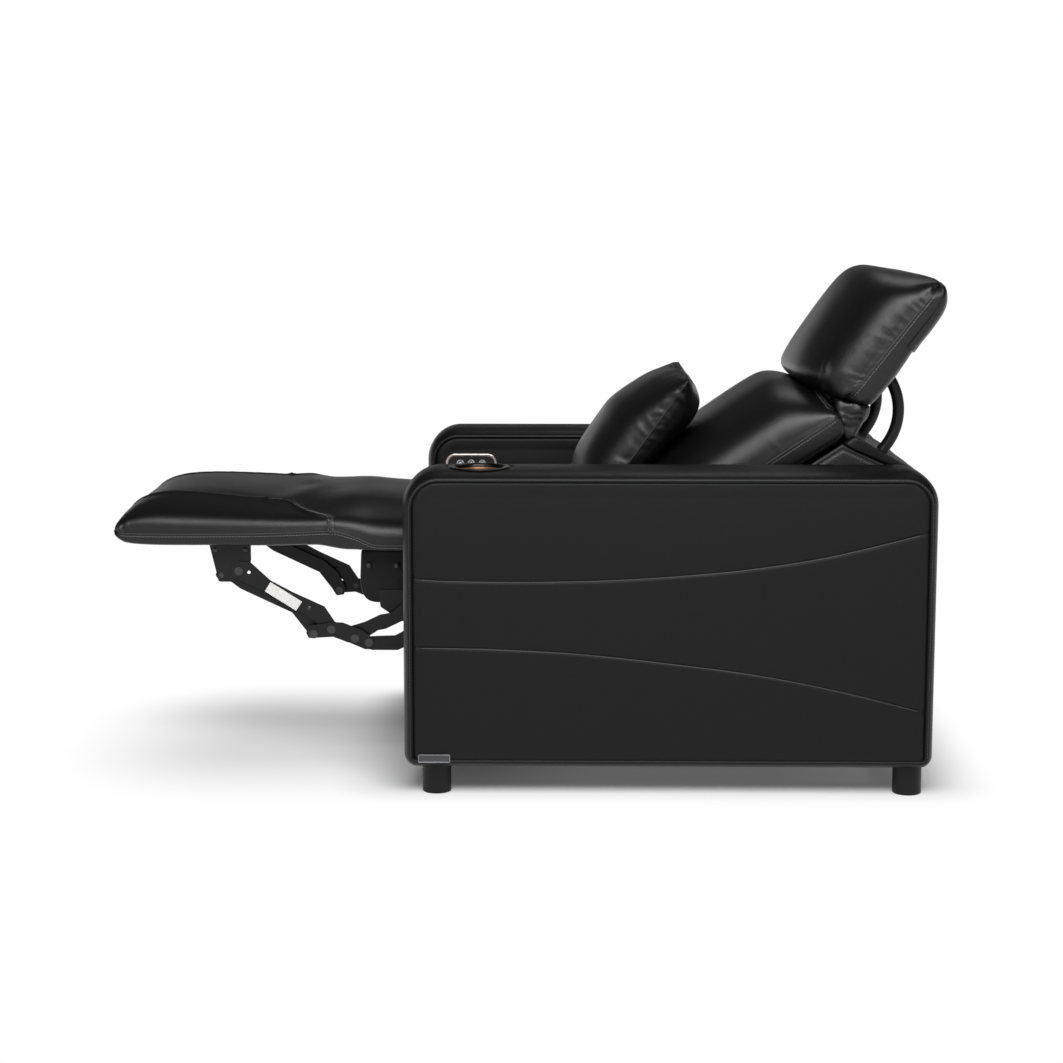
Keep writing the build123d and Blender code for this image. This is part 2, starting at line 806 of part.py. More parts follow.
wide_link_far = wide_link_near + link_thickness
tab_far = tab_near + link_thickness
head_gap = 0.3
with BuildPart() as bracket_rivets:
    for sign in (-1, 1):
        knee_end = sign * (wide_link_far + head_gap)
        knee_length = sign * (wide_link_far + head_gap - bracket_near)
        add(pin(knee_x, knee_z, sign * bracket_near, knee_length, pin_radius, knee_end, rivet_head_radius))
        toe_start = sign * (slim_link_near - head_gap)
        toe_length = sign * (bracket_near + link_thickness - slim_link_near + head_gap)
        add(pin(toe_x, toe_z, toe_start, toe_length, pin_radius, 0))
        add(pin(toe_x, toe_z, toe_start, -sign * 0.8, rivet_head_radius, 0))
bracket_rivets.part.label = "bracket_rivets"
export_step(bracket_rivets.part, "parts/bracket_rivets.step")

with BuildPart() as elbow_rivets:
    washer_radius = 9.0
    for sign in (-1, 1):
        tab_face = sign * tab_far
        elbow_start = sign * (wide_link_near - 0.5)
        elbow_length = sign * (tab_far - wide_link_near + 0.5)
        add(pin(elbow_x, elbow_z, elbow_start, elbow_length, pin_radius, tab_face, rivet_head_radius))
        wrist_start = sign * (slim_link_near - head_gap)
        wrist_length = sign * (tab_far - slim_link_near + head_gap)
        add(pin(wrist_x, wrist_z, wrist_start, wrist_length, pin_radius, tab_face, rivet_head_radius))
        add(pin(wrist_x, wrist_z, wrist_start, -sign * 0.8, rivet_head_radius, 0))
        add(pin(wrist_x, wrist_z, sign * tab_near, -sign * 1.5, washer_radius, 0))
        for stud_x, stud_z in ((elbow_x + 45, elbow_z - 17), (elbow_x + 71, elbow_z - 25)):
            add(pin(stud_x, stud_z, tab_face, sign * 1.2, rivet_head_radius, 0))
elbow_rivets.part.label = "elbow_rivets"
export_step(elbow_rivets.part, "parts/elbow_rivets.step")

with BuildPart() as brace_rivets:
    for sign in (-1, 1):
        brace_start = sign * (bracket_near - head_gap)
        brace_length = sign * (wide_link_far - bracket_near + head_gap)
        add(pin(brace_pin_x, brace_pin_z, brace_start, brace_length, pin_radius, 0))
        add(pin(brace_pin_x, brace_pin_z, brace_start, -sign * 1.0, rivet_head_radius, 0))
brace_rivets.part.label = "brace_rivets"
export_step(brace_rivets.part, "parts/brace_rivets.step")

with BuildPart() as hanger_pins:
    hanger_far = hanger_near + hanger_thickness
    for sign in (-1, 1):
        root_end = sign * (bracket_near + link_thickness + head_gap)
        root_length = root_end - sign * hanger_far
        add(pin(brace_root_x, brace_root_z, sign * hanger_far, root_length, pin_radius, root_end, rivet_head_radius))
hanger_pins.part.label = "hanger_pins"
export_step(hanger_pins.part, "parts/hanger_pins.step")

with BuildPart() as label:
    slope = math.degrees(math.atan2(elbow_z - knee_z, elbow_x - knee_x))
    label_x = knee_x + 0.48 * (elbow_x - knee_x)
    label_z = knee_z + 0.48 * (elbow_z - knee_z) + 5
    with BuildSketch(side_view(-wide_link_far)):
        with Locations(Location((label_x, label_z), slope)):
            Rectangle(label_length, label_width)
    extrude(amount=label_thickness)
label.part.label = "link_label"
export_step(label.part, "parts/link_label.step")

# ---------------------------------------------------------------- motors
with BuildPart() as footrest_motor:
    with Locations((drive_x + 6, 0, drive_z)):
        Box(56, 60, 2 * (rail_bottom_z - drive_z))
    with Locations(Location((drive_x + 90, 0, drive_z), (0, 90, 0))):
        Cylinder(23, 120)
    with Locations(Location((drive_x, 0, drive_z), (90, 0, 0))):
        Cylinder(drive_tube_radius + 0.5, 62, mode=Mode.SUBTRACT)
footrest_motor.part.label = "footrest_motor"
export_step(footrest_motor.part, "parts/footrest_motor.step")

motor_lean = math.degrees(math.atan2(cross_tube_z - recline_z, cross_tube_x - recline_x))
with BuildPart() as recline_motor:
    motor_heading = (math.cos(math.radians(motor_lean)), 0, math.sin(math.radians(motor_lean)))
    motor_plane = Plane((recline_x, 0, recline_z), (0, 1, 0), motor_heading)
    with BuildSketch(motor_plane.offset(-27)):
        RectangleRounded(70, 50, 6)
    extrude(amount=60)
    with BuildSketch(motor_plane.offset(30)):
        Circle(21)
    motor_reach = math.hypot(cross_tube_x - recline_x, cross_tube_z - recline_z)
    extrude(amount=motor_reach - cross_tube_radius - 30)
    with Locations(Location((recline_x, 0, recline_z), (90, 0, 0))):
        Cylinder(recline_tube_radius + 0.5, 80, mode=Mode.SUBTRACT)
recline_motor.part.label = "recline_motor"
export_step(recline_motor.part, "parts/recline_motor.step")

# ---------------------------------------------------------------- back
recline_tube = pin(recline_x, recline_z, -side_plate_far - 1, 2 * side_plate_far + 2, recline_tube_radius, 0)
recline_tube.label = "recline_tube"
export_step(recline_tube, "parts/recline_tube.step")

ladder_tube_radius = 10.0
ladder_tubes = ((110.0, 0.0), (290.0, 10.0))
neck_boss = 6.0
neck_ear = (
    (ladder_tubes[1][0] - 8, -2),
    (ladder_tubes[1][0] - 6, 22),
    (neck_along - 18, 28),
    (neck_along - neck_boss, wing_front),
    (neck_along - neck_boss, neck_out),
    (neck_along + neck_boss, neck_out),
    (neck_along + 10, neck_out - 30),
    (neck_along - 2, 28),
    (ladder_tubes[1][0] + 12, -2),
)
with BuildPart() as back_frame:
    for sign in (-1, 1):
        with BuildSketch(back_view(sign * back_rail_near)):
            with Locations((back_rail_length / 2 - back_rail_depth / 2, 0)):
                RectangleRounded(back_rail_length, back_rail_depth, 12)
            Circle(recline_tube_radius, mode=Mode.SUBTRACT)
        extrude(amount=-sign * back_rail_width)
        with BuildSketch(back_view(sign * back_rail_near)):
            with Locations(ladder_tubes):
                Circle(ladder_tube_radius)
        extrude(amount=sign * back_rail_near)
    for sign in (-1, 1):
        with BuildSketch(back_view(sign * neck_ear_near)):
            Polygon(*neck_ear, align=None)
            fillet(vertices(), 2.5)
            with Locations((neck_along, neck_out)):
                Circle(neck_boss)
                Circle(neck_rod_radius + running_gap, mode=Mode.SUBTRACT)
        extrude(amount=-sign * neck_ear_thickness)
back_frame.part.label = "back_frame"
export_step(back_frame.part, "parts/back_frame.step")

panel_front = panel_rear + panel_thickness
for side, sign in sides:
    with BuildPart() as wing:
        with BuildSketch(back_view(sign * wing_near)):
            Polygon(
                (panel_bottom, panel_rear),
                (wing_crest, panel_rear),
                (wing_top, wing_front),
                (20, wing_front),
                (panel_bottom, panel_front + 20),
                align=None,
            )
            fillet(vertices(), 6)
        extrude(amount=-sign * wing_thickness)
    wing.part.label = f"back_wing_{side}"
    export_step(wing.part, f"parts/{wing.part.label}.step")

with BuildPart() as back_panel:
    with BuildSketch(back_view(-wing_near)):
        Polygon(
            (panel_foot, panel_rear),
            (wing_crest - 1, panel_rear),
            (wing_crest - 12, panel_front),
            (panel_foot, panel_front),
            align=None,
        )
    extrude(amount=-2 * wing_near)
back_panel.part.label = "back_panel"
export_step(back_panel.part, "parts/back_panel.step")

neck_axis = Axis((neck.X, 0, neck.Z), (0, -1, 0))


def bow(radius, start_angle, end_angle):
    """The pair of round bars bent about the headrest hinge, from one angle to another."""
    start = math.radians(start_angle)
    with BuildPart() as bars:
        for sign in (-1, 1):
            middle = (
                neck.X + bow_radius * math.cos(start),
                sign * bow_spacing / 2,
                neck.Z + bow_radius * math.sin(start),
            )
            with BuildSketch(Plane(middle, (0, 1, 0), (-math.sin(start), 0, math.cos(start)))):
                Circle(radius)
        revolve(axis=neck_axis, revolution_arc=end_angle - start_angle)
    return bars.part


with BuildPart() as top_cap:
    slope = math.atan2(panel_rear - wing_front, wing_crest - wing_top)
    lift = (-cap_thickness * math.sin(slope), cap_thickness * math.cos(slope))
    with BuildSketch(back_view(-wing_near - wing_thickness)):
        Polygon(
            (wing_top, wing_front),
            (wing_top + cap_thickness / math.sin(-slope), wing_front),
            (wing_crest + lift[0], panel_rear + lift[1]),
            (wing_crest, panel_rear),
            align=None,
        )
    extrude(amount=-2 * (wing_near + wing_thickness))
    add(bow(bow_wire_radius + bow_gap, bow_end_angle, bow_top_angle), mode=Mode.SUBTRACT)
    for sign in (-1, 1):
        with BuildSketch(back_view(sign * (neck_ear_near - 1.5))):
            with Locations((neck_along - 11, 28)):
                Rectangle(48, 62)
        extrude(amount=-sign * (neck_ear_thickness + 3), mode=Mode.SUBTRACT)
top_cap.part.label = "back_top_cap"
export_step(top_cap.part, "parts/back_top_cap.step")

guide_angle = math.radians(-101)
guide_along = neck_along + bow_radius * math.cos(guide_angle)
guide_out = neck_out + bow_radius * math.sin(guide_angle)
with BuildPart() as guides:
    for sign in (-1, 1):
        with BuildSketch(back_view(sign * (bow_spacing / 2 - 18))):
            with Locations(Location((guide_along, guide_out), math.degrees(guide_angle) + 90)):
                RectangleRounded(26, 40, 4)
            with Locations(ladder_tubes[1]):
                Circle(ladder_tube_radius, mode=Mode.SUBTRACT)
        extrude(amount=-sign * 36)
    add(bow(bow_wire_radius + running_gap, bow_end_angle - 4, bow_top_angle), mode=Mode.SUBTRACT)
guides.part.label = "bow_guides"
export_step(guides.part, "parts/bow_guides.step")

with BuildPart() as headrest_motor:
    tilt_motor = (neck_along - 38, neck_out - 122)
    with BuildSketch(back_view(-34)):
        with Locations(tilt_motor):
            RectangleRounded(56, 44, 8)
    extrude(amount=-68)
    with BuildSketch(back_view(34)):
        with Locations(tilt_motor):
            Circle(19)
    extrude(amount=-60)
    with BuildSketch(back_view(-bow_spacing / 2 + 18)):
        with Locations(tilt_motor):
            Circle(5)
    extrude(amount=-(bow_spacing - 36))
headrest_motor.part.label = "headrest_motor"
export_step(headrest_motor.part, "parts/headrest_motor.step")

back_stations = ((-1.0, 0.0, 8.0), (-0.93, 0.55, 3.0), (-0.62, 0.88, 0.0), (0.0, 1.0, 0.0))
back_stations += tuple((-share, crown, draw) for share, crown, draw in reversed(back_stations[:-1]))
with BuildPart() as back_cushion:
    for share, crown, draw in back_stations:
        front = back_side_front + crown * (back_crown - back_side_front)
        with BuildSketch(back_view(share * back_half_width)):
            with BuildLine():
                rear = Line((back_bottom + 50 + draw, back_rear), (back_top - 3 - draw, back_rear))
                brow = (back_top - 8 - 70 * crown - draw, front - 2 - crown)
                shoulder = (back_top - 1 - 19 * crown - draw, 0.4 * back_rear + 0.6 * front + 12 * crown)
                ThreePointArc(rear @ 1, shoulder, brow)
                chin = (back_bottom + 60 - 10 * (1 - crown) + draw, front - 3 - 6 * crown)
                ThreePointArc(brow, ((brow[0] + chin[0]) / 2, front), chin)
                ThreePointArc(chin, (back_bottom + draw, 0.5 * (back_rear + front)), rear @ 0)
            make_face()
    loft()
back_cushion.part.label = "back_cushion"
export_step(back_cushion.part, "parts/back_cushion.step")

with BuildPart() as gussets:
    for sign in (-1, 1):
        with BuildSketch(back_view(sign * 176)):
            Polygon(
                (neck_along - 13.5, wing_front),
                (neck_along - 5.5, wing_front),
                (neck_along - 5.5, neck_out + 3),
                (neck_along + 7, neck_out + 7),
                (neck_along + 21, neck_out - 9),
                (neck_along + 15, neck_out - 29),
                (neck_along - 1, neck_out - 58),
                align=None,
            )
        extrude(amount=-sign * 88)
gussets.part.label = "neck_gussets"
export_step(gussets.part, "parts/neck_gussets.step")

# ---------------------------------------------------------------- headrest
headrest_plate_thickness = 3.0
with BuildPart() as headrest_plate:
    with BuildSketch(headrest_view(-170)):
        with Locations((122, headrest_rear - headrest_plate_thickness / 2)):
            Rectangle(176, headrest_plate_thickness)
    extrude(amount=-340)
    for sign in (-1, 1):
        with BuildSketch(headrest_view(sign * (neck_ear_near + neck_ear_thickness + 1))):
            Polygon(
                (0, neck_boss),
                (neck_clear - 9, -8),
                (neck_clear + 5, headrest_rear),
                (60, headrest_rear),
                (60, headrest_rear - headrest_plate_thickness),
                (neck_clear + 2, headrest_rear - headrest_plate_thickness),
                (0, -neck_boss),
                align=None,
            )
            Circle(neck_boss)
            Circle(neck_rod_radius, mode=Mode.SUBTRACT)
        extrude(amount=-sign * neck_ear_thickness)
headrest_plate.part.label = "headrest_plate"
export_step(headrest_plate.part, "parts/headrest_plate.step")

neck_rod_half = neck_ear_near + 2 * neck_ear_thickness + 3
neck_rod = pin(neck.X, neck.Z, -neck_rod_half, 2 * neck_rod_half, neck_rod_radius, 0)
neck_rod.label = "neck_rod"
export_step(neck_rod, "parts/neck_rod.step")

with BuildPart() as bows:
    add(bow(bow_wire_radius, bow_end_angle, bow_top_angle + 6))
    with BuildSketch(headrest_view(-200)):
        with Locations((110, headrest_rear - headrest_plate_thickness + 50)):
            Rectangle(200, 100)
    extrude(amount=-400, mode=Mode.SUBTRACT)
bows.part.label = "headrest_bows"
export_step(bows.part, "parts/headrest_bows.step")

with BuildPart() as headrest_cushion:
    for share, crown, draw in back_stations:
        front = headrest_side_front + crown * (headrest_crown - headrest_side_front)
        rear_out = headrest_rear + 1 + 4 * (1 - crown)
        with BuildSketch(headrest_view(share * headrest_half_width)):
            with BuildLine():
                rear = Line((neck_clear + 6 + draw, rear_out), (headrest_top - 58 + 40 * crown, rear_out))
                brow = (headrest_top - 6 - 46 * crown, front - 3 - 21 * crown)
                ThreePointArc(rear @ 1, (headrest_top - 22 + 8 * crown, -6 + 51 * crown), brow)
                chin = (2 + 28 * (1 - crown) + draw, front - 3 - 19 * crown)
                ThreePointArc(brow, (0.6 * brow[0] + 0.4 * chin[0], front), chin)
                ThreePointArc(chin, (neck_clear - 12 * crown + draw, 0.45 * front), rear @ 0)
            make_face()
    loft()
headrest_cushion.part.label = "headrest_cushion"
export_step(headrest_cushion.part, "parts/headrest_cushion.step")

def cover_section(out, start, end, half_width):
    """A rectangle across the back of the headrest, out along its front normal."""
    lean = math.radians(headrest_angle)
    middle = headrest_view(0).from_local_coords(((start + end) / 2, out, 0))
    along = (math.cos(lean), 0, math.sin(lean))
    with BuildSketch(Plane(middle, along, (math.sin(lean), 0, -math.cos(lean)))) as section:
        RectangleRounded(end - start, 2 * half_width, 6)
    return section.sketch


flap_start = 169.0
cover_rim = headrest_rear - headrest_plate_thickness
rearward = (math.sin(math.radians(headrest_angle)), 0, -math.cos(math.radians(headrest_angle)))
with BuildPart() as headrest_cover:
    add(cover_section(headrest_rear, neck_clear + 20, headrest_top - 14, 232))
    extrude(amount=headrest_plate_thickness, dir=rearward)
    with BuildSketch(headrest_view(-171)):
        with Locations((110, headrest_rear)):
            Rectangle(206, 2 * headrest_plate_thickness)
    extrude(amount=-342, mode=Mode.SUBTRACT)
    add(cover_section(cover_rim, neck_clear + 20, headrest_top - 14, 232))
    add(cover_section(cover_rim - 8, neck_clear + 26, headrest_top - 20, 190))
    loft()
    add(cover_section(cover_rim - 8, flap_start, headrest_top - 22, 150))
    add(cover_section(cover_rim - 14, flap_start + 3, headrest_top - 30, 128))
    loft()
    add(bow(bow_wire_radius + bow_gap, bow_end_angle, bow_top_angle + 8), mode=Mode.SUBTRACT)
headrest_cover.part.label = "headrest_cover"
export_step(headrest_cover.part, "parts/headrest_cover.step")

# ---------------------------------------------------------------- pillow
pillow_lean = math.radians(pillow_angle)
pillow_along = (math.cos(pillow_lean), 0, math.sin(pillow_lean))
pillow_stations = ((-1.0, 0.06), (-0.88, 0.5), (-0.5, 0.9), (0.0, 1.0), (0.5, 0.9), (0.88, 0.5), (1.0, 0.06))
with BuildPart() as pillow:
    for share, swell in pillow_stations:
        front = pillow_front * swell
        behind = pillow_rear * swell
        crest = pillow_height + pillow_corner * share * share
        origin = (pillow_foot_x, share * pillow_half_width, pillow_foot_z)
        with BuildSketch(Plane(origin, pillow_along, (0, -1, 0))):
            with BuildLine():
                foot = Line((0, -1), (0, 0.68 * front))
                belly = (0.26 * pillow_height, front)
                ThreePointArc(foot @ 1, (0.1 * pillow_height, 0.93 * front), belly)
                ThreePointArc(belly, (0.66 * pillow_height, 0.84 * front), (crest, 1.5))
                ridge = Line((crest, 1.5), (crest, -1.5))
                hump = (0.76 * pillow_height, -behind)
                ThreePointArc(ridge @ 1, (0.9 * pillow_height, -0.8 * behind), hump)
                Line(hump, (0.2 * pillow_height, -1 - 0.06 * behind))
                Line((0.2 * pillow_height, -1 - 0.06 * behind), foot @ 0)
            make_face()
    loft()
pillow.part.label = "lumbar_pillow"
export_step(pillow.part, "parts/lumbar_pillow.step")
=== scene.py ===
import math
import random

import bpy
import numpy as np
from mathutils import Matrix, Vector
from mathutils.bvhtree import BVHTree


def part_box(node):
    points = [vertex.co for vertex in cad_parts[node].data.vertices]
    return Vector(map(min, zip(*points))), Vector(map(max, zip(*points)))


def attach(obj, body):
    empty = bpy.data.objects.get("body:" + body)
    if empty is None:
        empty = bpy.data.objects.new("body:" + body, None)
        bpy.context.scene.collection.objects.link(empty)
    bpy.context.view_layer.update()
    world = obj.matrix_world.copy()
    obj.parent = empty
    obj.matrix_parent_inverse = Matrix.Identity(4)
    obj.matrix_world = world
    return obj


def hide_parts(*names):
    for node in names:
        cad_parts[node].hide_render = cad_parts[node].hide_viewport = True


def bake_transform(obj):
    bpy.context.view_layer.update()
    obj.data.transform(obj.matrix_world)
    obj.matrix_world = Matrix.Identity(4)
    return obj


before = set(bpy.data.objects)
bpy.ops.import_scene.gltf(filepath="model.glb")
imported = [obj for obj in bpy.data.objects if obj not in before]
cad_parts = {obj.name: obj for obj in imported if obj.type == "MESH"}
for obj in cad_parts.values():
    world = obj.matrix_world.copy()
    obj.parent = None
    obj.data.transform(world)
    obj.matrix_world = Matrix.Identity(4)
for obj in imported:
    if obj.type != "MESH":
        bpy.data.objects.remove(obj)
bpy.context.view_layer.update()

# ---------------------------------------------------------------- studio
# A pale floor that runs into a pale surround, one large soft lamp above and in
# front and two weaker ones, at the left and behind. The camera stands where the
# photographer stood, a little higher than the headrest.
scene = bpy.context.scene
scene.view_settings.view_transform = "Standard"

camera_data = bpy.data.cameras.new("studio_camera")
camera_data.lens = 74.67
camera_data.sensor_width = 36.0
camera_data.clip_end = 60.0
camera = bpy.data.objects.new("studio_camera", camera_data)
camera.location = (0.072, -4.36, 1.074)
camera.rotation_euler = (math.radians(90 - 8.475), 0, math.radians(0.94))
scene.collection.objects.link(camera)
scene.camera = camera


def softbox(name, place, aim, size, power):
    """A rectangular area lamp at place that faces aim."""
    lamp = bpy.data.lights.new(name, "AREA")
    lamp.shape = "RECTANGLE"
    lamp.size, lamp.size_y = size
    lamp.energy = power
    holder = bpy.data.objects.new(name, lamp)
    holder.location = place
    holder.rotation_euler = (Vector(aim) - holder.location).to_track_quat("-Z", "Y").to_euler()
    scene.collection.objects.link(holder)


def node(tree, kind, inputs=None, **settings):
    """A new shader node with these settings, and a link or a plain value at each of these inputs."""
    made = tree.nodes.new(f"ShaderNode{kind}")
    for key, value in settings.items():
        setattr(made, key, value)
    for socket, source in (inputs or {}).items():
        if isinstance(source, bpy.types.Node):
            source = source.outputs[0]
        if isinstance(source, bpy.types.NodeSocket):
            tree.links.new(source, made.inputs[socket])
        else:
            made.inputs[socket].default_value = source
    return made


def circle(count):
    """The cosine and sine of evenly spaced angles."""
    return [(math.cos(2 * math.pi * k / count), math.sin(2 * math.pi * k / count)) for k in range(count)]


softbox("lamp_key", (0.2, -2.85, 2.6), (0.05, -0.3, 0.45), (2.8, 1.5), 128.0)
softbox("lamp_left", (-2.6, -2.6, 2.6), (-0.2, 0.0, 0.5), (0.9, 1.4), 8.0)
softbox("lamp_rear", (1.0, 2.2, 3.6), (0.3, 0.0, 0.5), (2.2, 1.0), 16.0)

world = bpy.data.worlds.new("surround")
scene.world = world
world.use_nodes = True
tree = world.node_tree
background = tree.nodes["Background"]
split = node(tree, "SeparateXYZ", {0: node(tree, "TexCoord").outputs["Generated"]})
horizon = node(
    tree,
    "MapRange",
    {"Value": split.outputs["Z"], "From Min": 0.090, "From Max": 0.112, "To Min": 1.0, "To Max": 0.05},
    interpolation_type="SMOOTHSTEP",
)
tree.links.new(horizon.outputs[0], background.inputs["Strength"])
background.inputs["Color"].default_value = (1, 1, 1, 1)

floor_radius, floor_height, floor_sides = 14.0, -0.0004, 96
rim = [(floor_radius * a, floor_radius * b, floor_height) for a, b in circle(floor_sides)]
floor_mesh = bpy.data.meshes.new("studio_floor")
floor_mesh.from_pydata(rim, [], [tuple(range(floor_sides))])
studio_floor = bpy.data.objects.new("studio_floor", floor_mesh)
scene.collection.objects.link(studio_floor)

# the floor takes the object's shadow near it and is plain white further away:
# sharply round the arms and softly under the footrest
floor_finish = bpy.data.materials.new("studio_floor_paint")
floor_finish.use_nodes = True
tree = floor_finish.node_tree
floor_shader = tree.nodes["Principled BSDF"]
floor_shader.inputs["Base Color"].default_value = (0.93, 0.93, 0.93, 1)
floor_shader.inputs["Roughness"].default_value = 0.9
floor_shader.inputs["Specular IOR Level"].default_value = 0.0
place = node(tree, "TexCoord").outputs["Object"]
fields = []
for middle, half, reach, least in (
    ((0.25, 0.0, 0.0), (0.47, 0.34, 1.0), 0.17, 0.1),
    ((-0.38, 0.0, 0.0), (0.16, 0.12, 1.0), 0.42, 0.3),
):
    folded = node(tree, "VectorMath", {0: place, 1: middle}, operation="SUBTRACT")
    folded = node(tree, "VectorMath", {0: folded}, operation="ABSOLUTE")
    folded = node(tree, "VectorMath", {0: folded, 1: half}, operation="SUBTRACT")
    folded = node(tree, "VectorMath", {0: folded, 1: (0, 0, 0)}, operation="MAXIMUM")
    away = node(tree, "VectorMath", {0: folded}, operation="LENGTH").outputs["Value"]
    limits = {"Value": away, "From Max": reach, "To Min": least}
    fields.append(node(tree, "MapRange", limits, interpolation_type="SMOOTHSTEP"))
rays = node(tree, "LightPath").outputs
seen = node(tree, "Math", {0: rays["Is Camera Ray"], 1: rays["Is Glossy Ray"]}, operation="ADD")
seen = node(tree, "Math", {0: seen, 1: rays["Is Transmission Ray"]}, operation="ADD", use_clamp=True)
both = node(tree, "Math", {0: fields[0], 1: fields[1]}, operation="MULTIPLY")
share = node(tree, "Math", {0: seen, 1: both}, operation="MULTIPLY")
mixed = node(tree, "MixShader", {"Fac": share, 1: floor_shader, 2: node(tree, "Emission")})
tree.links.new(mixed.outputs[0], tree.nodes["Material Output"].inputs["Surface"])
floor_mesh.materials.append(floor_finish)

# ---------------------------------------------------------------- feet
# Four short round feet of black moulded plastic, one screwed up into each end
# of each arm. They keep their turned shape and get a moulded finish.
mm = 0.001
number = "NodeSocketFloat"
surface_inputs = (
    ("Colour", "NodeSocketColor", (0.5, 0.5, 0.5, 1)),
    ("Roughness", number, 0.5),
    ("Scale", number, 400.0),
    ("Depth", number, 0.0001),
    ("Unevenness", number, 0.1),
)
surface_outputs = (("Colour", "NodeSocketColor"), ("Roughness", number), ("Normal", "NodeSocketVector"))


def effect(name):
    """A group of shader nodes for a kind of surface, what it is given and the spot on the object."""
    group = bpy.data.node_groups.new(name, "ShaderNodeTree")
    for label, kind, value in surface_inputs:
        group.interface.new_socket(label, in_out="INPUT", socket_type=kind).default_value = value
    for label, kind in surface_outputs:
        group.interface.new_socket(label, in_out="OUTPUT", socket_type=kind)
    return group, group.nodes.new("NodeGroupInput").outputs, node(group, "TexCoord").outputs["Object"]


def end_effect(group, given, noise, bright, gain, base, relief):
    """Ends a group: noise varies its roughness, bright (or else that variation) its colour, relief its normal."""
    uneven = node(group, "Math", {0: noise, 1: given["Unevenness"]}, operation="MULTIPLY")
    wear = node(group, "Math", {0: uneven, 1: given["Roughness"]}, operation="ADD")
    level = node(
        group, "Math", {0: uneven if bright is None else bright, 1: gain, 2: base}, operation="MULTIPLY_ADD"
    )
    shade = node(group, "VectorMath", {0: given["Colour"], "Scale": level}, operation="SCALE")
    leave = group.nodes.new("NodeGroupOutput").inputs
    for label, made in (("Colour", shade), ("Roughness", wear), ("Normal", relief)):
        group.links.new(made.outputs[0], leave[label])


coat, given, place = effect("fine_coat")
speckle = node(coat, "TexNoise", {"Vector": place, "Scale": given["Scale"], "Detail": 3.0})
patches = node(coat, "TexNoise", {"Vector": place, "Scale": 9.0, "Detail": 5.0})
relief = node(coat, "Bump", {"Height": speckle, "Distance": given["Depth"], "Strength": 0.6})
end_effect(coat, given, patches, None, 1.5, 0.85, relief)


def finish(name, group, colour, roughness, scale, depth, unevenness=0.1, **constants):
    """A material whose colour, roughness and relief come from a group, with plain values on its shader."""
    made = bpy.data.materials.new(name)
    made.use_nodes = True
    shader = made.node_tree.nodes["Principled BSDF"]
    given = {"Colour": (*colour, 1), "Roughness": roughness, "Scale": scale, "Depth": depth}
    maker = node(made.node_tree, "Group", {**given, "Unevenness": unevenness}, node_tree=group)
    for source, socket in (("Colour", "Base Color"), ("Roughness", "Roughness"), ("Normal", "Normal")):
        made.node_tree.links.new(maker.outputs[source], shader.inputs[socket])
    for key, value in constants.items():
        shader.inputs[key.replace("_", " ")].default_value = value
    return made


def dress(material, *names):
    """Gives these CAD nodes a material."""
    for name in names:
        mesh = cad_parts[name].data
        mesh.materials.clear()
        mesh.materials.append(material)


moulded_black = finish(
    "moulded_black", coat, (0.005, 0.005, 0.0055), 0.36, 900.0, 0.0001, 0.15, Specular_IOR_Level=0.25
)
dress(moulded_black, "feet", "switch_housing", "bow_guides")

# ---------------------------------------------------------------- base rails and glide channels
# Bent and welded steel between the two arms, powder coated black. The four
# shoes that run in the channels are milky nylon.
powder_coat = finish(
    "powder_coat", coat, (0.006, 0.006, 0.0065), 0.38, 1500.0, 0.00012, 0.2, Specular_IOR_Level=0.3
)
nylon = finish("nylon", coat, (0.55, 0.54, 0.50), 0.5, 700.0, 0.0001, 0.15)
dress(powder_coat, "base_rails", "glide_channels")
dress(nylon, "glide_shoes")

# ---------------------------------------------------------------- arm bands
# A padded leather band goes round the front, top, rear and bottom of each arm.
# It is crowned across its width, rolls over at both sides and dives into a
# seam, with a row of stitches beside that seam.
hide, given, place = effect("leather_grain")
drift = node(hide, "TexNoise", {"Vector": place, "Scale": 55.0, "Detail": 4.0})
bend_by = (0.004, 0.004, 0.004)
bent = node(hide, "VectorMath", {0: drift.outputs["Color"], 1: bend_by, 2: place}, operation="MULTIPLY_ADD")
cells = {"Vector": bent, "Scale": given["Scale"], "Smoothness": 0.35}
pebbles = node(hide, "TexVoronoi", cells, feature="SMOOTH_F1").outputs["Distance"]
pores = node(hide, "TexNoise", {"Vector": place, "Scale": 2600.0, "Detail": 2.0})
folds = node(hide, "TexNoise", {"Vector": place, "Scale": 38.0, "Detail": 6.0, "Roughness": 0.62})
height = node(hide, "Math", {0: pebbles, 1: -0.9, 2: pores}, operation="MULTIPLY_ADD")
relief = node(hide, "Bump", {"Height": height, "Distance": given["Depth"], "Strength": 0.5})
soft_relief = node(hide, "Bump", {"Height": folds, "Normal": relief, "Strength": 0.35, "Distance": 0.0012})
end_effect(hide, given, folds, pebbles, -0.5, 1.2, soft_relief)



def leather(name, shade, roughness, sheen, scale=1000.0, depth=0.00022):
    """A black leather of this grey with a little more blue."""
    colour = (shade, shade, shade + 0.0003)
    return finish(name, hide, colour, roughness, scale, depth, 0.08, Specular_IOR_Level=sheen)


arm_leather = leather("arm_leather", 0.005, 0.38, 0.22)
panel_leather = leather("panel_leather", 0.0052, 0.40, 0.2)
# the thread is a lighter grey than black thread would be: a painted highlight for the light the stitches catch
thread = finish("waxed_thread_painted_highlight", coat, (0.055, 0.055, 0.058), 0.45, 3000.0, 0.0001, 0.2)

arm_front, arm_rear = -227.0, 740.0
arm_bottom, arm_top = 53.0, 600.0
arm_inner, arm_outer = 290.0, 460.0
arm_corners = (  # x and z of the corner's place, radius, quarter where it starts
    (arm_rear, arm_top, 62.0, 0),
    (arm_front, arm_top, 68.0, 1),
    (arm_front, arm_bottom, 26.0, 2),
    (arm_rear, arm_bottom, 26.0, 3),
)


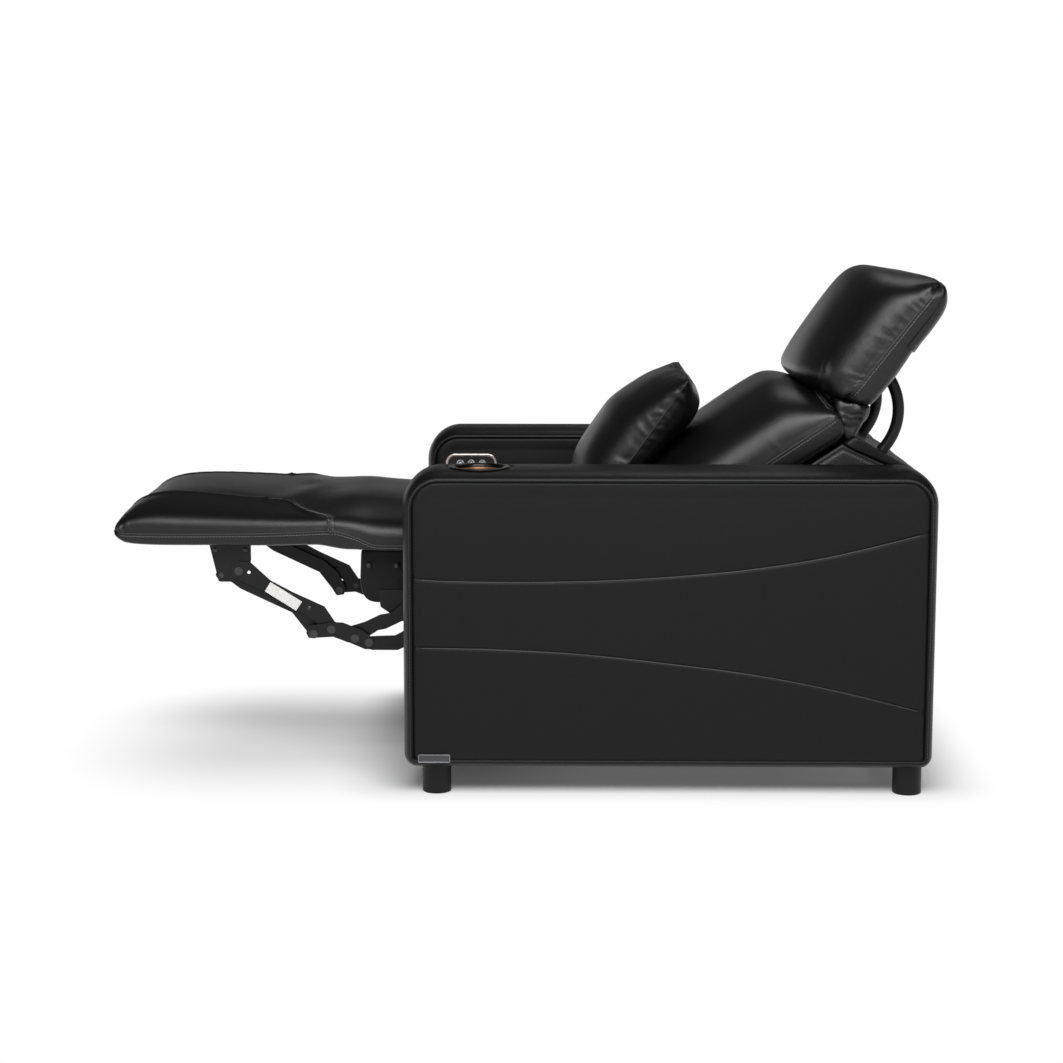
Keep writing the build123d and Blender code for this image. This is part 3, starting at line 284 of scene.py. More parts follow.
def smooth_line(points, count, closed=False):
    """count evenly spaced points on a smooth curve through these points."""
    points = np.array(points, float)
    if closed:
        around = np.vstack([points[-1:], points, points[:2]])
    else:
        around = np.vstack([2 * points[0] - points[1], points, 2 * points[-1] - points[-2]])
    step = np.linspace(0, 1, 16, endpoint=False)[:, None]
    runs = []
    for n in range(len(around) - 3):
        a, b, c, d = around[n : n + 4]
        square, cube = 2 * a - 5 * b + 4 * c - d, 3 * b - a - 3 * c + d
        runs.append(0.5 * (2 * b + (c - a) * step + square * step**2 + cube * step**3))
    runs.append(points[:1] if closed else points[-1:])
    line = np.vstack(runs)
    far = np.append(0, np.cumsum(np.linalg.norm(np.diff(line, axis=0), axis=1)))
    marks = np.linspace(0, far[-1], count, endpoint=not closed)
    return np.stack([np.interp(marks, far, axis) for axis in line.T], 1)


def rounded(corner, lower=0.0):
    """The centre of a corner's circle, and whether it is a front and a bottom corner."""
    x, z, radius, _ = corner
    front, bottom = x == arm_front, z == arm_bottom
    return x + (radius if front else -radius), z + (radius - lower if bottom else -radius), front, bottom


def arm_loop(inset, spacing=7.0):
    """The arm's side outline drawn in by inset, as x and z, with the same count at any inset."""
    loop = []
    for corner, following in zip(arm_corners, arm_corners[1:] + arm_corners[:1]):
        arcs = []
        for (_, _, radius, quarter), (cx, cz, _, _) in ((corner, rounded(corner)), (following, rounded(following))):
            angles = [math.pi / 2 * (quarter + k / 14) for k in range(15)]
            arcs.append([(cx + (radius - inset) * math.cos(a), cz + (radius - inset) * math.sin(a)) for a in angles])
        loop += arcs[0]
        flat = arm_rear - arm_front - 130 if corner[3] in (0, 2) else arm_top - arm_bottom - 90
        count = int(flat / spacing)
        start, target = arcs[0][-1], arcs[1][0]
        for k in range(1, count):
            share = k / count
            loop.append((start[0] + (target[0] - start[0]) * share, start[1] + (target[1] - start[1]) * share))
    return np.array(loop)


def piece(name, points, faces, material, body=None):
    """A smooth-shaded mesh object from points in millimetres."""
    mesh = bpy.data.meshes.new(name)
    mesh.from_pydata((np.asarray(points) * mm).tolist(), [], faces)
    mesh.polygons.foreach_set("use_smooth", [True] * len(mesh.polygons))
    mesh.update()
    mesh.materials.append(material)
    made = bpy.data.objects.new(name, mesh)
    scene.collection.objects.link(made)
    if body:
        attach(made, body)
    return made


def unit(vectors):
    """The vectors at length one."""
    return vectors / np.maximum(np.linalg.norm(vectors, axis=-1, keepdims=True), 1e-9)


def at_y(line, y):
    """A side-view line as points at this y."""
    return np.column_stack([line[:, 0], np.full(len(line), y), line[:, 1]])


def grid_faces(rows, columns, closed=False, start=0, flip=False, capped=False):
    """Four-sided faces over rows of points, each row closed on itself or not, with a face on each end if capped."""
    wide = columns if closed else columns - 1
    faces = []
    for r in range(rows - 1):
        for c in range(wide):
            a, b = start + r * columns + c, start + r * columns + (c + 1) % columns
            quad = (a, b, b + columns, a + columns)
            faces.append(quad[::-1] if flip else quad)
    if capped:
        last = start + (rows - 1) * columns
        faces += [tuple(range(start + columns - 1, start - 1, -1)), tuple(range(last, last + columns))]
    return faces


def stitches(name, surface, lines, body=None):
    """Separate thread stitches laid on a surface along lines of points in millimetres."""
    pitch, length, radius, lift = 6.0, 4.4, 0.55, 0.25
    tree = BVHTree.FromPolygons(
        [v.co / mm for v in surface.data.vertices], [p.vertices for p in surface.data.polygons]
    )
    points, faces = [], []
    for line in lines:
        line = np.asarray(line, float)
        far = np.append(0, np.cumsum(np.linalg.norm(np.diff(line, axis=0), axis=1)))
        count = max(int(far[-1] / pitch), 2)
        for n in range(count):
            middle = (n + 0.5) * far[-1] / count
            ends = []
            for mark in (middle - length / 2, middle + length / 2):
                spot, normal, _, _ = tree.find_nearest([float(np.interp(mark, far, axis)) for axis in line.T])
                ends.append((np.array(spot), np.array(normal)))
            (a, up), (b, up_b) = ends
            run = b - a
            size = np.linalg.norm(run)
            if size < 0.3 * length or size > 1.8 * length:
                continue
            run /= size
            up = (up + up_b) / 2
            side = np.cross(run, up)
            start = len(points)
            for share, swell in ((0.0, 0.35), (0.2, 1.0), (0.8, 1.0), (1.0, 0.35)):
                sink = lift if swell > 0.5 else -0.3
                for flat, high in circle(6):
                    rise = up * (sink + radius * swell * high)
                    points.append(a + run * size * share + rise + side * radius * swell * flat)
            faces += grid_faces(4, 6, True, start, capped=True)
    return piece(name, points, faces, thread, body)


# how far the leather has dropped from the crown, at each distance from the arm's middle
band_drop = (
    (0, 0.0), (20, 0.2), (40, 0.9), (55, 2.2), (65, 3.8), (72, 5.8), (78, 8.6), (82, 11.4),
    (84.2, 14.0), (85, 16.2), (84.4, 18.0), (82.5, 19.2), (80, 20.0), (76, 21.5),
)
half = smooth_line(band_drop, 34)
band_profile = np.vstack([half[::-1] * (-1, 1), half[1:]])
arm_middle, arm_half = (arm_inner + arm_outer) / 2, (arm_outer - arm_inner) / 2
stitch_inset = 14.6
cup_spot = (-88.0, -arm_middle)
cup_hole, cup_dip = 48.5, 64.0

sides = (("left", -1), ("right", 1))
for side, sign in sides:
    rows = [at_y(arm_loop(drop), sign * arm_middle + across) for across, drop in band_profile]
    columns = len(rows[0])
    points = np.vstack(rows)
    faces = grid_faces(len(rows), columns, True)
    if side == "left":
        reach = np.hypot(points[:, 0] - cup_spot[0], points[:, 1] - cup_spot[1])
        on_top = points[:, 2] > 540
        sunk = np.clip((cup_dip - reach) / 8, 0, 1) * on_top
        points[:, 2] -= 3.4 * sunk * sunk * (3 - 2 * sunk)
        near = (reach < cup_hole) & on_top
        faces = [f for f in faces if not near[list(f)].any()]
    band = piece(f"arm_band_{side}_leather", points, faces, arm_leather, "base")
    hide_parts(f"arm_band_{side}")
    lines = []
    for face in (-1, 1):
        loop = arm_loop(stitch_inset)
        if face == sign:
            above = loop[:, 1] > arm_bottom + 24
            first = int(np.argmin(above)) if above[0] else 0
            loop = np.roll(loop, -first, 0)
            loop = loop[np.roll(above, -first)]
        else:
            loop = np.vstack([loop, loop[:1]])
        lines.append(at_y(loop, sign * arm_middle + face * arm_half))
    stitches(f"arm_band_{side}_stitches", band, lines, "base")

# ---------------------------------------------------------------- arm side panels
# A foam-backed leather panel fills each side of each arm inside the seam. The
# outer ones are sewn from three parts, joined along two long curved seams, and
# the right inner one is cut out for the control plate.
upper_curve = [
    (-211, 407), (-150, 402.5), (-21, 401), (60, 402), (158, 405), (280, 413), (408, 426), (551, 450), (723, 492.5),
]
lower_curve = [
    (-211, 280), (-140, 279.3), (-57, 277.5), (87, 270), (250, 253), (411, 232), (560, 203), (723, 162.5),
]
upper_seam, lower_seam = smooth_line(upper_curve, 160), smooth_line(lower_curve, 160)
panel_inset = 19.6
panel_sunk = 6.5
panel_turn = 15.5
control_spot = (-132.0, 528.0)
control_half, control_rise = 51.5, 17.0


def border_distance(x, z, inset, lower):
    """How far points are inside the arm's outline drawn in by inset, with its lower edge let down."""
    edges = [x - arm_front - inset, arm_rear - inset - x, z - arm_bottom + lower - inset, arm_top - inset - z]
    away = np.minimum.reduce(edges)
    for corner in arm_corners:
        cx, cz, front, bottom = rounded(corner, lower)
        outside = ((x < cx) if front else (x > cx)) & ((z < cz) if bottom else (z > cz))
        away = np.where(outside, corner[2] - inset - np.hypot(x - cx, z - cz), away)
    return away


def ripple(points, seed, size, height):
    """Gentle unevenness, the same each run, in the sum of a few waves of about this size."""
    chance = random.Random(seed)
    total = np.zeros(len(points))
    for _ in range(9):
        heading = np.array([chance.gauss(0, 1) for _ in range(3)])
        heading *= 2 * math.pi / (size * chance.uniform(0.6, 1.7)) / np.linalg.norm(heading)
        total += np.sin(points @ heading + chance.uniform(0, 6.28)) * chance.uniform(0.4, 1)
    return total * height / 3


def welt(name, lines, radius, body=None, sides=8):
    """Thin round leather cords along lines of points in millimetres, in one mesh."""
    points, faces = [], []
    for line in lines:
        line = np.asarray(line, float)
        run = np.gradient(line, axis=0)
        run /= np.linalg.norm(run, axis=1)[:, None]
        up = np.array([0.31, 0.52, 0.79])
        start = len(points)
        for spot, ahead in zip(line, run):
            across = unit(np.cross(ahead, up))
            up = np.cross(across, ahead)
            points += [spot + radius * (flat * across + high * up) for flat, high in circle(sides)]
        faces += grid_faces(len(line), sides, True, start, capped=True)
    return piece(name, points, faces, welt_leather_painted_highlight, body)


# the welt cords are a lighter grey than the leather they are cut from: a painted highlight for the bright line along
# each seam
welt_leather_painted_highlight = finish("welt_leather_painted_highlight", hide, (0.03, 0.03, 0.032), 0.36, 1400.0, 0.0001, 0.06)


def eased(step, steps):
    """The share of a run after this many steps, where the first and last steps are short."""
    return 0.5 - 0.5 * math.cos(math.pi * step / steps)


def panel_rows(column_x, seams, lower):
    """Heights of the panel's rows at each column, crowded at its border and beside its seams."""
    limit_low, limit_high = [], []
    for x in column_x:
        low, high = arm_bottom + panel_inset - lower, arm_top - panel_inset
        for corner in arm_corners:
            cx, cz, front, bottom = rounded(corner, lower)
            if (x < cx) if front else (x > cx):
                rise = math.sqrt(max((corner[2] - panel_inset) ** 2 - (x - cx) ** 2, 0.0))
                low, high = (cz - rise, high) if bottom else (low, cz + rise)
        limit_low.append(low)
        limit_high.append(high)
    levels = [limit_low, *(np.interp(column_x, s[:, 0], s[:, 1]) for s in seams), limit_high]
    levels = [np.array(level) for level in levels]
    rows = []
    for n, (low, high) in enumerate(zip(levels, levels[1:])):
        count = 40 if seams else 100
        for k in range(count + (n == len(levels) - 2)):
            rows.append(low + (high - low) * (0.25 * k / count + 0.75 * eased(k, count)))
    return np.array(rows)


panel_columns = arm_front + panel_inset + (arm_rear - arm_front - 2 * panel_inset) * np.array(
    [0.6 * n / 170 + 0.4 * eased(n, 170) for n in range(171)]
)
for side, sign in sides:
    for face, out in (("outer", 1), ("inner", -1)):
        seams = (lower_seam, upper_seam) if face == "outer" else ()
        lower = panel_turn if face == "outer" else 0.0
        z = panel_rows(panel_columns, seams, lower)
        x = np.broadcast_to(panel_columns, z.shape)
        away = np.clip(border_distance(x, z, panel_inset, lower), 0, None)
        roll = 1 - np.clip(away / 24, 0, 1)
        drop = panel_sunk * (1 - np.sqrt(np.clip(1 - roll**2, 0, 1)) ** 0.9)
        centre = np.clip(away / 150, 0, 1)
        drop += 1.3 * (1 - centre) ** 2 * (1 - roll)
        below_top = np.clip(arm_top - panel_inset - z, 0, None)
        drop += 5.5 * np.exp(-below_top / 26) * (1 - roll)
        flat_points = np.column_stack([x.ravel(), np.zeros(x.size), z.ravel()])
        drop += (ripple(flat_points, 3 + len(face) + sign, 170, 0.45).reshape(z.shape) + 0.5) * (1 - roll)
        for seam in seams:
            above = z - np.interp(panel_columns, seam[:, 0], seam[:, 1])[None, :]
            drop += 1.9 * np.exp(-((above / 3.2) ** 2)) + 0.5 * np.exp(-((above / 16) ** 2))
        if face == "inner":
            drop += 0.6
        else:
            under = np.clip((arm_bottom + panel_inset - lower + 30 - z) / 30, 0, 1)
            drop += 15.0 * (1 - np.sqrt(1 - under**2.4))
        y = sign * (arm_middle + out * (arm_half - drop))
        points = np.column_stack([x.ravel(), y.ravel(), z.ravel()])
        faces = grid_faces(*z.shape, flip=(out * sign < 0))
        name = f"arm_{face}_panel_{side}"
        if (face, side) == ("inner", "right"):
            long = np.clip(np.abs(points[:, 0] - control_spot[0]) - (control_half - control_rise), 0, None)
            inside = np.hypot(long, points[:, 2] - control_spot[1]) < control_rise
            faces = [f for f in faces if not inside[list(f)].all()]
        panel = piece(f"{name}_leather", points, faces, panel_leather, "base")
        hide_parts(name)
        if seams:
            lines = [at_y(seam[3:-3] - (0, 1.3), sign * (arm_outer - 1.9)) for seam in seams]
            welt(f"{name}_seams", lines, 1.1, "base")
inside_board = finish("inside_board", coat, (0.5, 0.38, 0.25), 0.7, 300.0, 0.0002, 0.3)
dress(inside_board, "arm_frame_left", "arm_frame_right")

# ---------------------------------------------------------------- badge plate, cup holder and control plate
# The badge is a small bare plate of brushed dark metal with a raised rim. The
# cup holder is a spun cup with a copper finish. The control plate is glossy
# black in a polished rose-silver ring and has three faceted chrome buttons.
badge_low, badge_high = (np.array(corner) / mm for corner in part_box("badge_plate"))
brushed, given, place = effect("brushed_metal")
stretched = node(brushed, "VectorMath", {0: place, 1: (0.04, 1.0, 1.0)}, operation="MULTIPLY")
strokes = node(brushed, "TexNoise", {"Vector": stretched, "Scale": given["Scale"], "Detail": 6.0})
relief = node(brushed, "Bump", {"Height": strokes, "Distance": given["Depth"], "Strength": 0.5})
end_effect(brushed, given, strokes, strokes, 0.5, 0.75, relief)

badge_metal = finish("badge_metal", brushed, (0.09, 0.09, 0.095), 0.35, 900.0, 0.00006, 0.2, Metallic=1.0)
badge_rim = finish("badge_rim", brushed, (0.35, 0.35, 0.36), 0.3, 900.0, 0.00004, 0.2, Metallic=1.0)
dress(badge_metal, "badge_plate")
rim_points = []
rim_radius = 1.8
for lift, inset in ((0.9, 0.0), (-0.35, 0.15), (-0.45, 0.5), (-0.35, 1.0), (0.2, 1.2)):
    for quarter, (ahead, above) in enumerate(((1, 1), (0, 1), (0, 0), (1, 0))):
        corner_x, corner_z = (badge_low, badge_high)[ahead][0], (badge_low, badge_high)[above][2]
        in_x, in_z = (1, -1)[ahead], (1, -1)[above]
        for k in range(6):
            angle = math.pi / 2 * (quarter + k / 5)
            x = corner_x + in_x * rim_radius + (rim_radius - inset) * math.cos(angle)
            z = corner_z + in_z * rim_radius + (rim_radius - inset) * math.sin(angle)
            rim_points.append((x, badge_low[1] + lift, z))
piece("badge_plate_rim", rim_points, grid_faces(5, 24, True), badge_rim, "base")

copper = finish("copper_cup", brushed, (0.72, 0.40, 0.20), 0.22, 500.0, 0.00005, 0.15, Metallic=1.0)
rose_ring = finish("rose_silver", brushed, (0.86, 0.76, 0.72), 0.12, 1200.0, 0.00002, 0.08, Metallic=1.0)
gloss_black = finish("gloss_black", coat, (0.008, 0.008, 0.009), 0.12, 1500.0, 0.00002, 0.05)
chrome = finish("button_chrome", brushed, (0.88, 0.88, 0.9), 0.06, 900.0, 0.00001, 0.05, Metallic=1.0)
dress(copper, "cup_holder")

# the cup's flange and upper lip are dark, and its wall is bright copper
cup_profile = [  # radius and height, from the flange's outer edge over the lip to the floor
    (56.0, 597.2), (56.4, 598.6), (55.6, 599.8), (52.0, 600.4), (48.0, 600.3), (45.6, 599.7), (44.2, 598.2),
    (43.4, 595.0), (43.2, 593.4), (43.0, 592.8), (42.9, 586.0), (42.9, 560.0), (42.9, 540.0), (41.5, 536.6),
    (38.5, 535.0), (20.0, 534.4), (0.4, 534.3),
]
cup_shell = [(0.4, 532.6), (43.2, 533.4), (44.4, 536.0), (44.5, 590.0), (44.8, 597.0), (56.0, 597.2)]
dark_rim = finish("dark_rim", brushed, (0.02, 0.018, 0.017), 0.25, 900.0, 0.00004, 0.1, Metallic=0.9)
cup_points = []
cup_sides = 72
for radius, height in cup_profile + cup_shell:
    cup_points += [(cup_spot[0] + radius * a, cup_spot[1] + radius * b, height) for a, b in circle(cup_sides)]
cup_faces = grid_faces(len(cup_profile) + len(cup_shell), cup_sides, True, flip=True)
cup_lining = piece("cup_holder_lining", cup_points, cup_faces, dark_rim, "base")
cup_lining.data.materials.append(copper)
for face in cup_lining.data.polygons:
    ring = face.index // cup_sides
    face.material_index = 1 if 8 <= ring < len(cup_profile) + 4 else 0
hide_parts("cup_holder")
dress(rose_ring, "control_bezel")
dress(gloss_black, "control_face")
dress(chrome, "button_footrest", "button_recline", "button_headrest")

# ---------------------------------------------------------------- seat carriage
# Laser-cut plates, folded rails and a cross tube, all powder coated, with
# zigzag springs across the deck. The two drives are moulded cases on the tubes.
spring_wire = finish("spring_wire", coat, (0.25, 0.25, 0.26), 0.3, 1200.0, 0.00005, 0.2, Metallic=1.0)
motor_case = finish("motor_case", coat, (0.016, 0.016, 0.017), 0.5, 700.0, 0.00015, 0.15)
dress(powder_coat, "side_plates", "hanger_plates", "seat_front_rail", "seat_mid_rail", "carriage_cross_tube")
dress(spring_wire, "seat_springs")
dress(motor_case, "footrest_motor", "recline_motor", "headrest_motor")
rivet_steel = finish("rivet_steel", coat, (0.06, 0.06, 0.063), 0.3, 1500.0, 0.00008, 0.25, Metallic=0.8)
dress(rivet_steel, "hanger_pins")

# ---------------------------------------------------------------- footrest linkage
# Stamped flat links, powder coated black and riveted together, swing the
# footrest out. Each visible rivet has a domed head on a thin washer, and a
# blank white paper label is stuck on the near upper link.
link_coat = finish(
    "link_coat", coat, (0.0045, 0.0045, 0.005), 0.3, 1500.0, 0.00012, 0.25, Specular_IOR_Level=0.3
)
dress(link_coat, "footrest_brackets", "drive_links", "footrest_drive_tube", "wide_links", "slim_links")
dress(link_coat, "brace_links")
dress(rivet_steel, "bracket_rivets", "elbow_rivets", "brace_rivets")
paper = finish("label_paper", coat, (0.82, 0.81, 0.79), 0.6, 1200.0, 0.00003, 0.05)
dress(paper, "link_label")
washer_ring = [(0.2, 9.2), (0.9, 9.0), (1.0, 6.2), (1.9, 5.4), (2.7, 3.4), (3.0, 0.0)]


def rivets(name, spots, half_gap, body, scale):
    """Domed rivet heads with washers at these x and z, standing out on both sides of the middle."""
    points, faces = [], []
    head_sides = 14
    for out in (-1, 1):
        for x, z in spots:
            start = len(points)
            for lift, radius in washer_ring:
                y = out * half_gap + out * lift * scale
                points += [(x + scale * radius * a, y, z + scale * radius * b) for a, b in circle(head_sides)]
            faces += grid_faces(len(washer_ring), head_sides, True, start, flip=out < 0)
    return piece(name, points, faces, rivet_steel, body)


rivets("bracket_small_rivets", [(-596, 424), (-539, 424)], 239.5, "footrest", 0.55)
rivets("wide_link_small_rivets", [(-418, 312)], 243.5, "wide", 0.5)
rivets("hanger_small_rivets", [(-305, 392), (-252, 392)], 226, "carriage", 0.6)

# ---------------------------------------------------------------- seat and footrest cushion
# One leather cover runs from the back of the seat over its nose and on over
# the footrest, with a crease pressed in where the footrest folds. Two sheets meet in a
# seam along each side. A sewn joint starts at each side of the fold and slants
# in over the footrest, where it goes on as a crease.
cushion_leather = leather("cushion_leather", 0.0045, 0.3, 0.42, 900.0, 0.0003)
# this thread's pale grey is a painted highlight: it stands in for the light the stitches catch along the seams
thread = finish("thread_lightened_as_painted_highlight", coat, (0.2, 0.2, 0.2), 0.45, 3000.0, 0.0001, 0.2)


def level_line(points, share):
    """Points of a smooth line at these shares of its length."""
    line = smooth_line(points, 400)
    at = np.asarray(share) * 399
    return np.stack([np.interp(at, np.arange(400), axis) for axis in line.T], 1)


def two_sheets(front, rear, seam, half_width, powers, along, across, corner=0.0, end_power=0.0):
    """Points of a crowned form sewn from a front and a rear sheet that meet in a seam at both sides.

    front, rear and seam are lines in the form's side view, all from one end to the other.
    A higher power gives a sheet a flatter middle and steeper sides, and end_power adds to it at the ends."""
    share = np.array([0.5 * n / along + 0.5 * eased(n, along) for n in range(along + 1)])
    seam_line = level_line(seam, share)
    side = np.sin(np.linspace(-1, 1, across + 1) * math.pi / 2)
    long = np.linalg.norm(np.diff(seam_line, axis=0), axis=1).sum()
    to_end = np.minimum(share, 1 - share) * long
    width = np.full(along + 1, half_width)
    if corner:
        width -= corner * (1 - np.sqrt(1 - np.clip(1 - to_end / corner, 0, 1) ** 2))
    sheets = []
    for outline, middle_power in zip((front, rear), powers):
        steep = middle_power + end_power * np.abs(2 * share - 1)[None] ** 9
        swell = np.clip(1 - np.abs(side)[:, None] ** steep, 0, 1) ** (1 / steep)
        line = level_line(outline, share)
        flat = seam_line[None] + (line - seam_line)[None] * swell[..., None]
        y = side[:, None] * width[None]
        sheets.append(np.dstack([flat[..., 0], y, flat[..., 1]]))
    return sheets


def sew(sheets):
    """One closed set of points and faces from two sheets that share their borders."""
    front, rear = sheets
    rows, columns, _ = front.shape
    points = [front.reshape(-1, 3)]
    index = np.arange(rows * columns).reshape(rows, columns)
    rear_index = index.copy()
    inner = np.zeros((rows, columns), bool)
    inner[1:-1, 1:-1] = True
    rear_index[inner] = rows * columns + np.arange(inner.sum())
    points.append(rear[inner])
    faces = []
    for table, turned in ((index, True), (rear_index, False)):
        for r in range(rows - 1):
            for c in range(columns - 1):
                quad = (*table[r, c : c + 2].tolist(), *table[r + 1, c : c + 2].tolist()[::-1])
                faces.append(quad[::-1] if turned else quad)
    return np.vstack(points), faces


def along_line(points, line):
    """Each point's place along a line and its distance from it."""
    line = np.asarray(line, float)
    starts, runs = line[:-1], np.diff(line, axis=0)
    length = np.linalg.norm(runs, axis=1)
    far = np.append(0, np.cumsum(length))
    best = np.full(len(points), 1e9)
    place = np.zeros(len(points))
    for start, run, size, before in zip(starts, runs, length, far):
        share = np.clip((points - start) @ run / (size * size), 0, 1)
        gap = np.linalg.norm(points - start - share[:, None] * run, axis=1)
        nearer = gap < best
        best[nearer] = gap[nearer]
        place[nearer] = before + share[nearer] * size
    return place, best, far[-1]


def normals(points, faces):
    """The smooth normal at each point."""
    quads = np.array(faces)
    across = np.cross(points[quads[:, 2]] - points[quads[:, 0]], points[quads[:, 3]] - points[quads[:, 1]])
    total = np.zeros_like(points)
    for corner in range(4):
        np.add.at(total, quads[:, corner], across)
    return unit(total)


def pressed(points, faces, line, depth, width):
    """The points with a groove of this depth and half width along a line."""
    _, gap, _ = along_line(points, line)
    return points - normals(points, faces) * (depth * np.exp(-((gap / width) ** 2)))[:, None]


def gathered(points, faces, line, reach, depth, spacing, seed):
    """The points with small folds that run away from a sewn line and fade out."""
    place, gap, total = along_line(points, line)
    chance = random.Random(seed)
    drop = np.zeros(len(points))
    mark = spacing * chance.random()
    while mark < total:
        slant, long = chance.uniform(-0.5, 0.5), reach * chance.uniform(0.4, 1.3)
        wide, deep = spacing * chance.uniform(0.16, 0.34), depth * chance.uniform(0.3, 1.2)
        off = (place - mark - slant * gap) / (wide * (1 + 0.8 * gap / long))
        fold = deep * (1 - off * off) * np.exp(-off * off / 2)
        drop += fold * np.exp(-((gap / long) ** 1.5)) * (1 - np.exp(-gap / 3))
        mark += spacing * chance.uniform(0.5, 1.6)
    return points - normals(points, faces) * drop[:, None]


def mirrored(half_line):
    """A line across the middle, from its near half, whose last point is in the middle."""
    return half_line + [(x, -y, z) for x, y, z in half_line[-2::-1]]


def snapped(points, line):
    """A line moved onto the nearest points of a form."""
    return np.array([points[np.argmin(((points - spot) ** 2).sum(1))] for spot in line])


seat_front = [
    (-782, 466), (-779, 479), (-768, 495), (-750, 509), (-724, 519), (-690, 524.5), (-640, 526), (-590, 524.5),
    (-544, 522), (-480, 518.5), (-430, 516.5), (-386, 516), (-350, 518), (-320, 518), (-260, 514), (-180, 510),
    (-60, 508), (50, 507), (100, 504), (124, 495), (136, 478), (138, 462),
]
seat_rear = [
    (-782, 466), (-779, 456), (-768, 445), (-750, 438), (-700, 434.4), (-600, 433.5), (-500, 434), (-420, 435),
    (-392, 434), (-372, 430), (-350, 426.5), (-318, 426), (-250, 426), (-100, 426), (60, 426), (110, 430),
    (130, 442), (138, 462),
]
seat_side = [
    (-776, 462), (-740, 459.5), (-650, 459), (-523, 460), (-440, 462.5), (-371, 465), (-341, 459), (-318, 451),
    (-292, 440), (-250, 438), (-150, 440), (0, 442), (100, 446), (134, 458),
]
sheets = two_sheets(seat_front, seat_rear, seat_side, 282.0, (3.1, 9.0), 236, 120, 16.0, 4.0)
points, faces = sew(sheets)
seat_edges = [sheets[0][end] for end in (0, -1)]
bend_seam = [
    (-371, -282, 466), (-371, -280, 478), (-374, -276, 490), (-383, -271, 500), (-399, -266, 505), (-422, -252, 510),
    (-442, -226, 513), (-456, -204, 515), (-472, -196, 517), (-500, -189, 519),
]
long_crease = [
    (-500, -189, 519), (-560, -178, 522), (-640, -161, 524), (-700, -149, 521), (-735, -141, 514), (-760, -134, 502),
    (-776, -128, 484),
]
half_fold = [(-462, -198, 515), (-447, -130, 517), (-430, -60, 517), (-416, 0, 517)]
bend_seams = [smooth_line(np.array(bend_seam) * (1, out, 1), 90) for out in (1, -1)]
creases = [smooth_line(np.array(long_crease) * (1, out, 1), 80) for out in (1, -1)]
fold_crease = smooth_line(mirrored(half_fold), 100)
points += normals(points, faces) * ripple(points, 11, 160, 0.6)[:, None]
for line in bend_seams:
    points = pressed(points, faces, snapped(points, line), 3.2, 4.0)
    points = gathered(points, faces, snapped(points, line), 16, 0.35, 15, 7)
for line in creases:
    points = pressed(points, faces, snapped(points, line), 2.6, 5.0)
points = pressed(points, faces, snapped(points, fold_crease), 3.4, 26.0)
for end, seed in ((0, 5), (1, 6)):
    points = gathered(points, faces, seat_edges[end], 18, 0.35, 26, seed)
    points = pressed(points, faces, seat_edges[end], 1.6, 3.2)
for sign in (-1, 1):
    tip = smooth_line([(-779, sign * 262, 466), (-766, sign * 272, 470), (-748, sign * 276, 476)], 12)
    points = gathered(points, faces, tip, 26, 1.6, 8, 15 + sign)
seat_cover = piece("seat_and_footrest_cover", points, faces, cushion_leather)


def beside(line, shift):
    """A line moved sideways by a fixed vector."""
    return np.asarray(line) + np.array(shift, float)


def offset_on(line, step):
    """A line moved level by step, across its own run."""
    return line + step * unit(np.cross(unit(np.gradient(line, axis=0)), (0.0, 0.0, 1.0)))


def beside_seams(edges, trim, drop):
    """Lines for the stitches just outside and below the seams at a form's two sides."""
    return [beside(edge[trim:-trim], (0, out, -drop)) for edge, out in zip(edges, (-0.5, 0.5))]


top_lines = [offset_on(line, step) for line in bend_seams for step in (3.6, -3.6)]
top_lines += [beside(line, (0, 1.5, 0)) for line in creases]
seat_thread = stitches("seat_and_footrest_stitches", seat_cover, beside_seams(seat_edges, 4, 4.5) + top_lines)
seat_rows = [beside(snapped(points, edge)[1:-1], (0, 0, 0.6)) for edge in seat_edges]
seat_welt = welt("seat_and_footrest_welt", seat_rows, 1.0)
for part in (seat_cover, seat_thread, seat_welt):
    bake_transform(part)
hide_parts("seat_cushion", "footrest_pad")
board_black = finish("board_black", coat, (0.012, 0.012, 0.012), 0.7, 500.0, 0.0002, 0.2)
dress(board_black, "footrest_board")

# ---------------------------------------------------------------- front block
# A small upholstered box fills the gap under the seat's nose. Its lower front
# edge is rounded and its leather is gently uneven.
block_front = [
    (-322, 371), (-322, 392), (-322, 408), (-321, 418), (-316, 424.5), (-300, 425), (-270, 425), (-243, 425),
    (-236, 418), (-235, 400), (-235, 371),
]
block_rear = [
    (-322, 371), (-321.5, 350), (-318, 333), (-309, 322), (-296, 317.6), (-275, 317), (-250, 317), (-239, 319),
    (-235.6, 328), (-235, 345), (-235, 371),
]
block_side = [(-318, 371), (-290, 371), (-260, 371), (-238, 371)]
points, faces = sew(two_sheets(block_front, block_rear, block_side, 222.0, (22.0, 22.0), 90, 90))
points += normals(points, faces) * ripple(points, 21, 70, 0.6)[:, None]
block = piece("front_block_cover", points, faces, arm_leather, "carriage")
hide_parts("front_block")

# ---------------------------------------------------------------- back
# The back is a crowned cushion in front of a leather-covered shell. The cushion
# has a seam along each side and one across its top. The shell has two side
# wings with a stitched border, a rear panel and a padded cap along its top edge.
back_view = (372.0, 430.0), math.radians(33.4)


def leaned(points, origin, lean):
    """Side-view points given up and out of a leaning part, as row x, y and z."""
    points = np.asarray(points, float)
    x = origin[0] + points[:, 0] * math.cos(lean) - points[:, 2] * math.sin(lean)
    z = origin[1] + points[:, 0] * math.sin(lean) + points[:, 2] * math.cos(lean)
    return np.column_stack([x, points[:, 1], z])


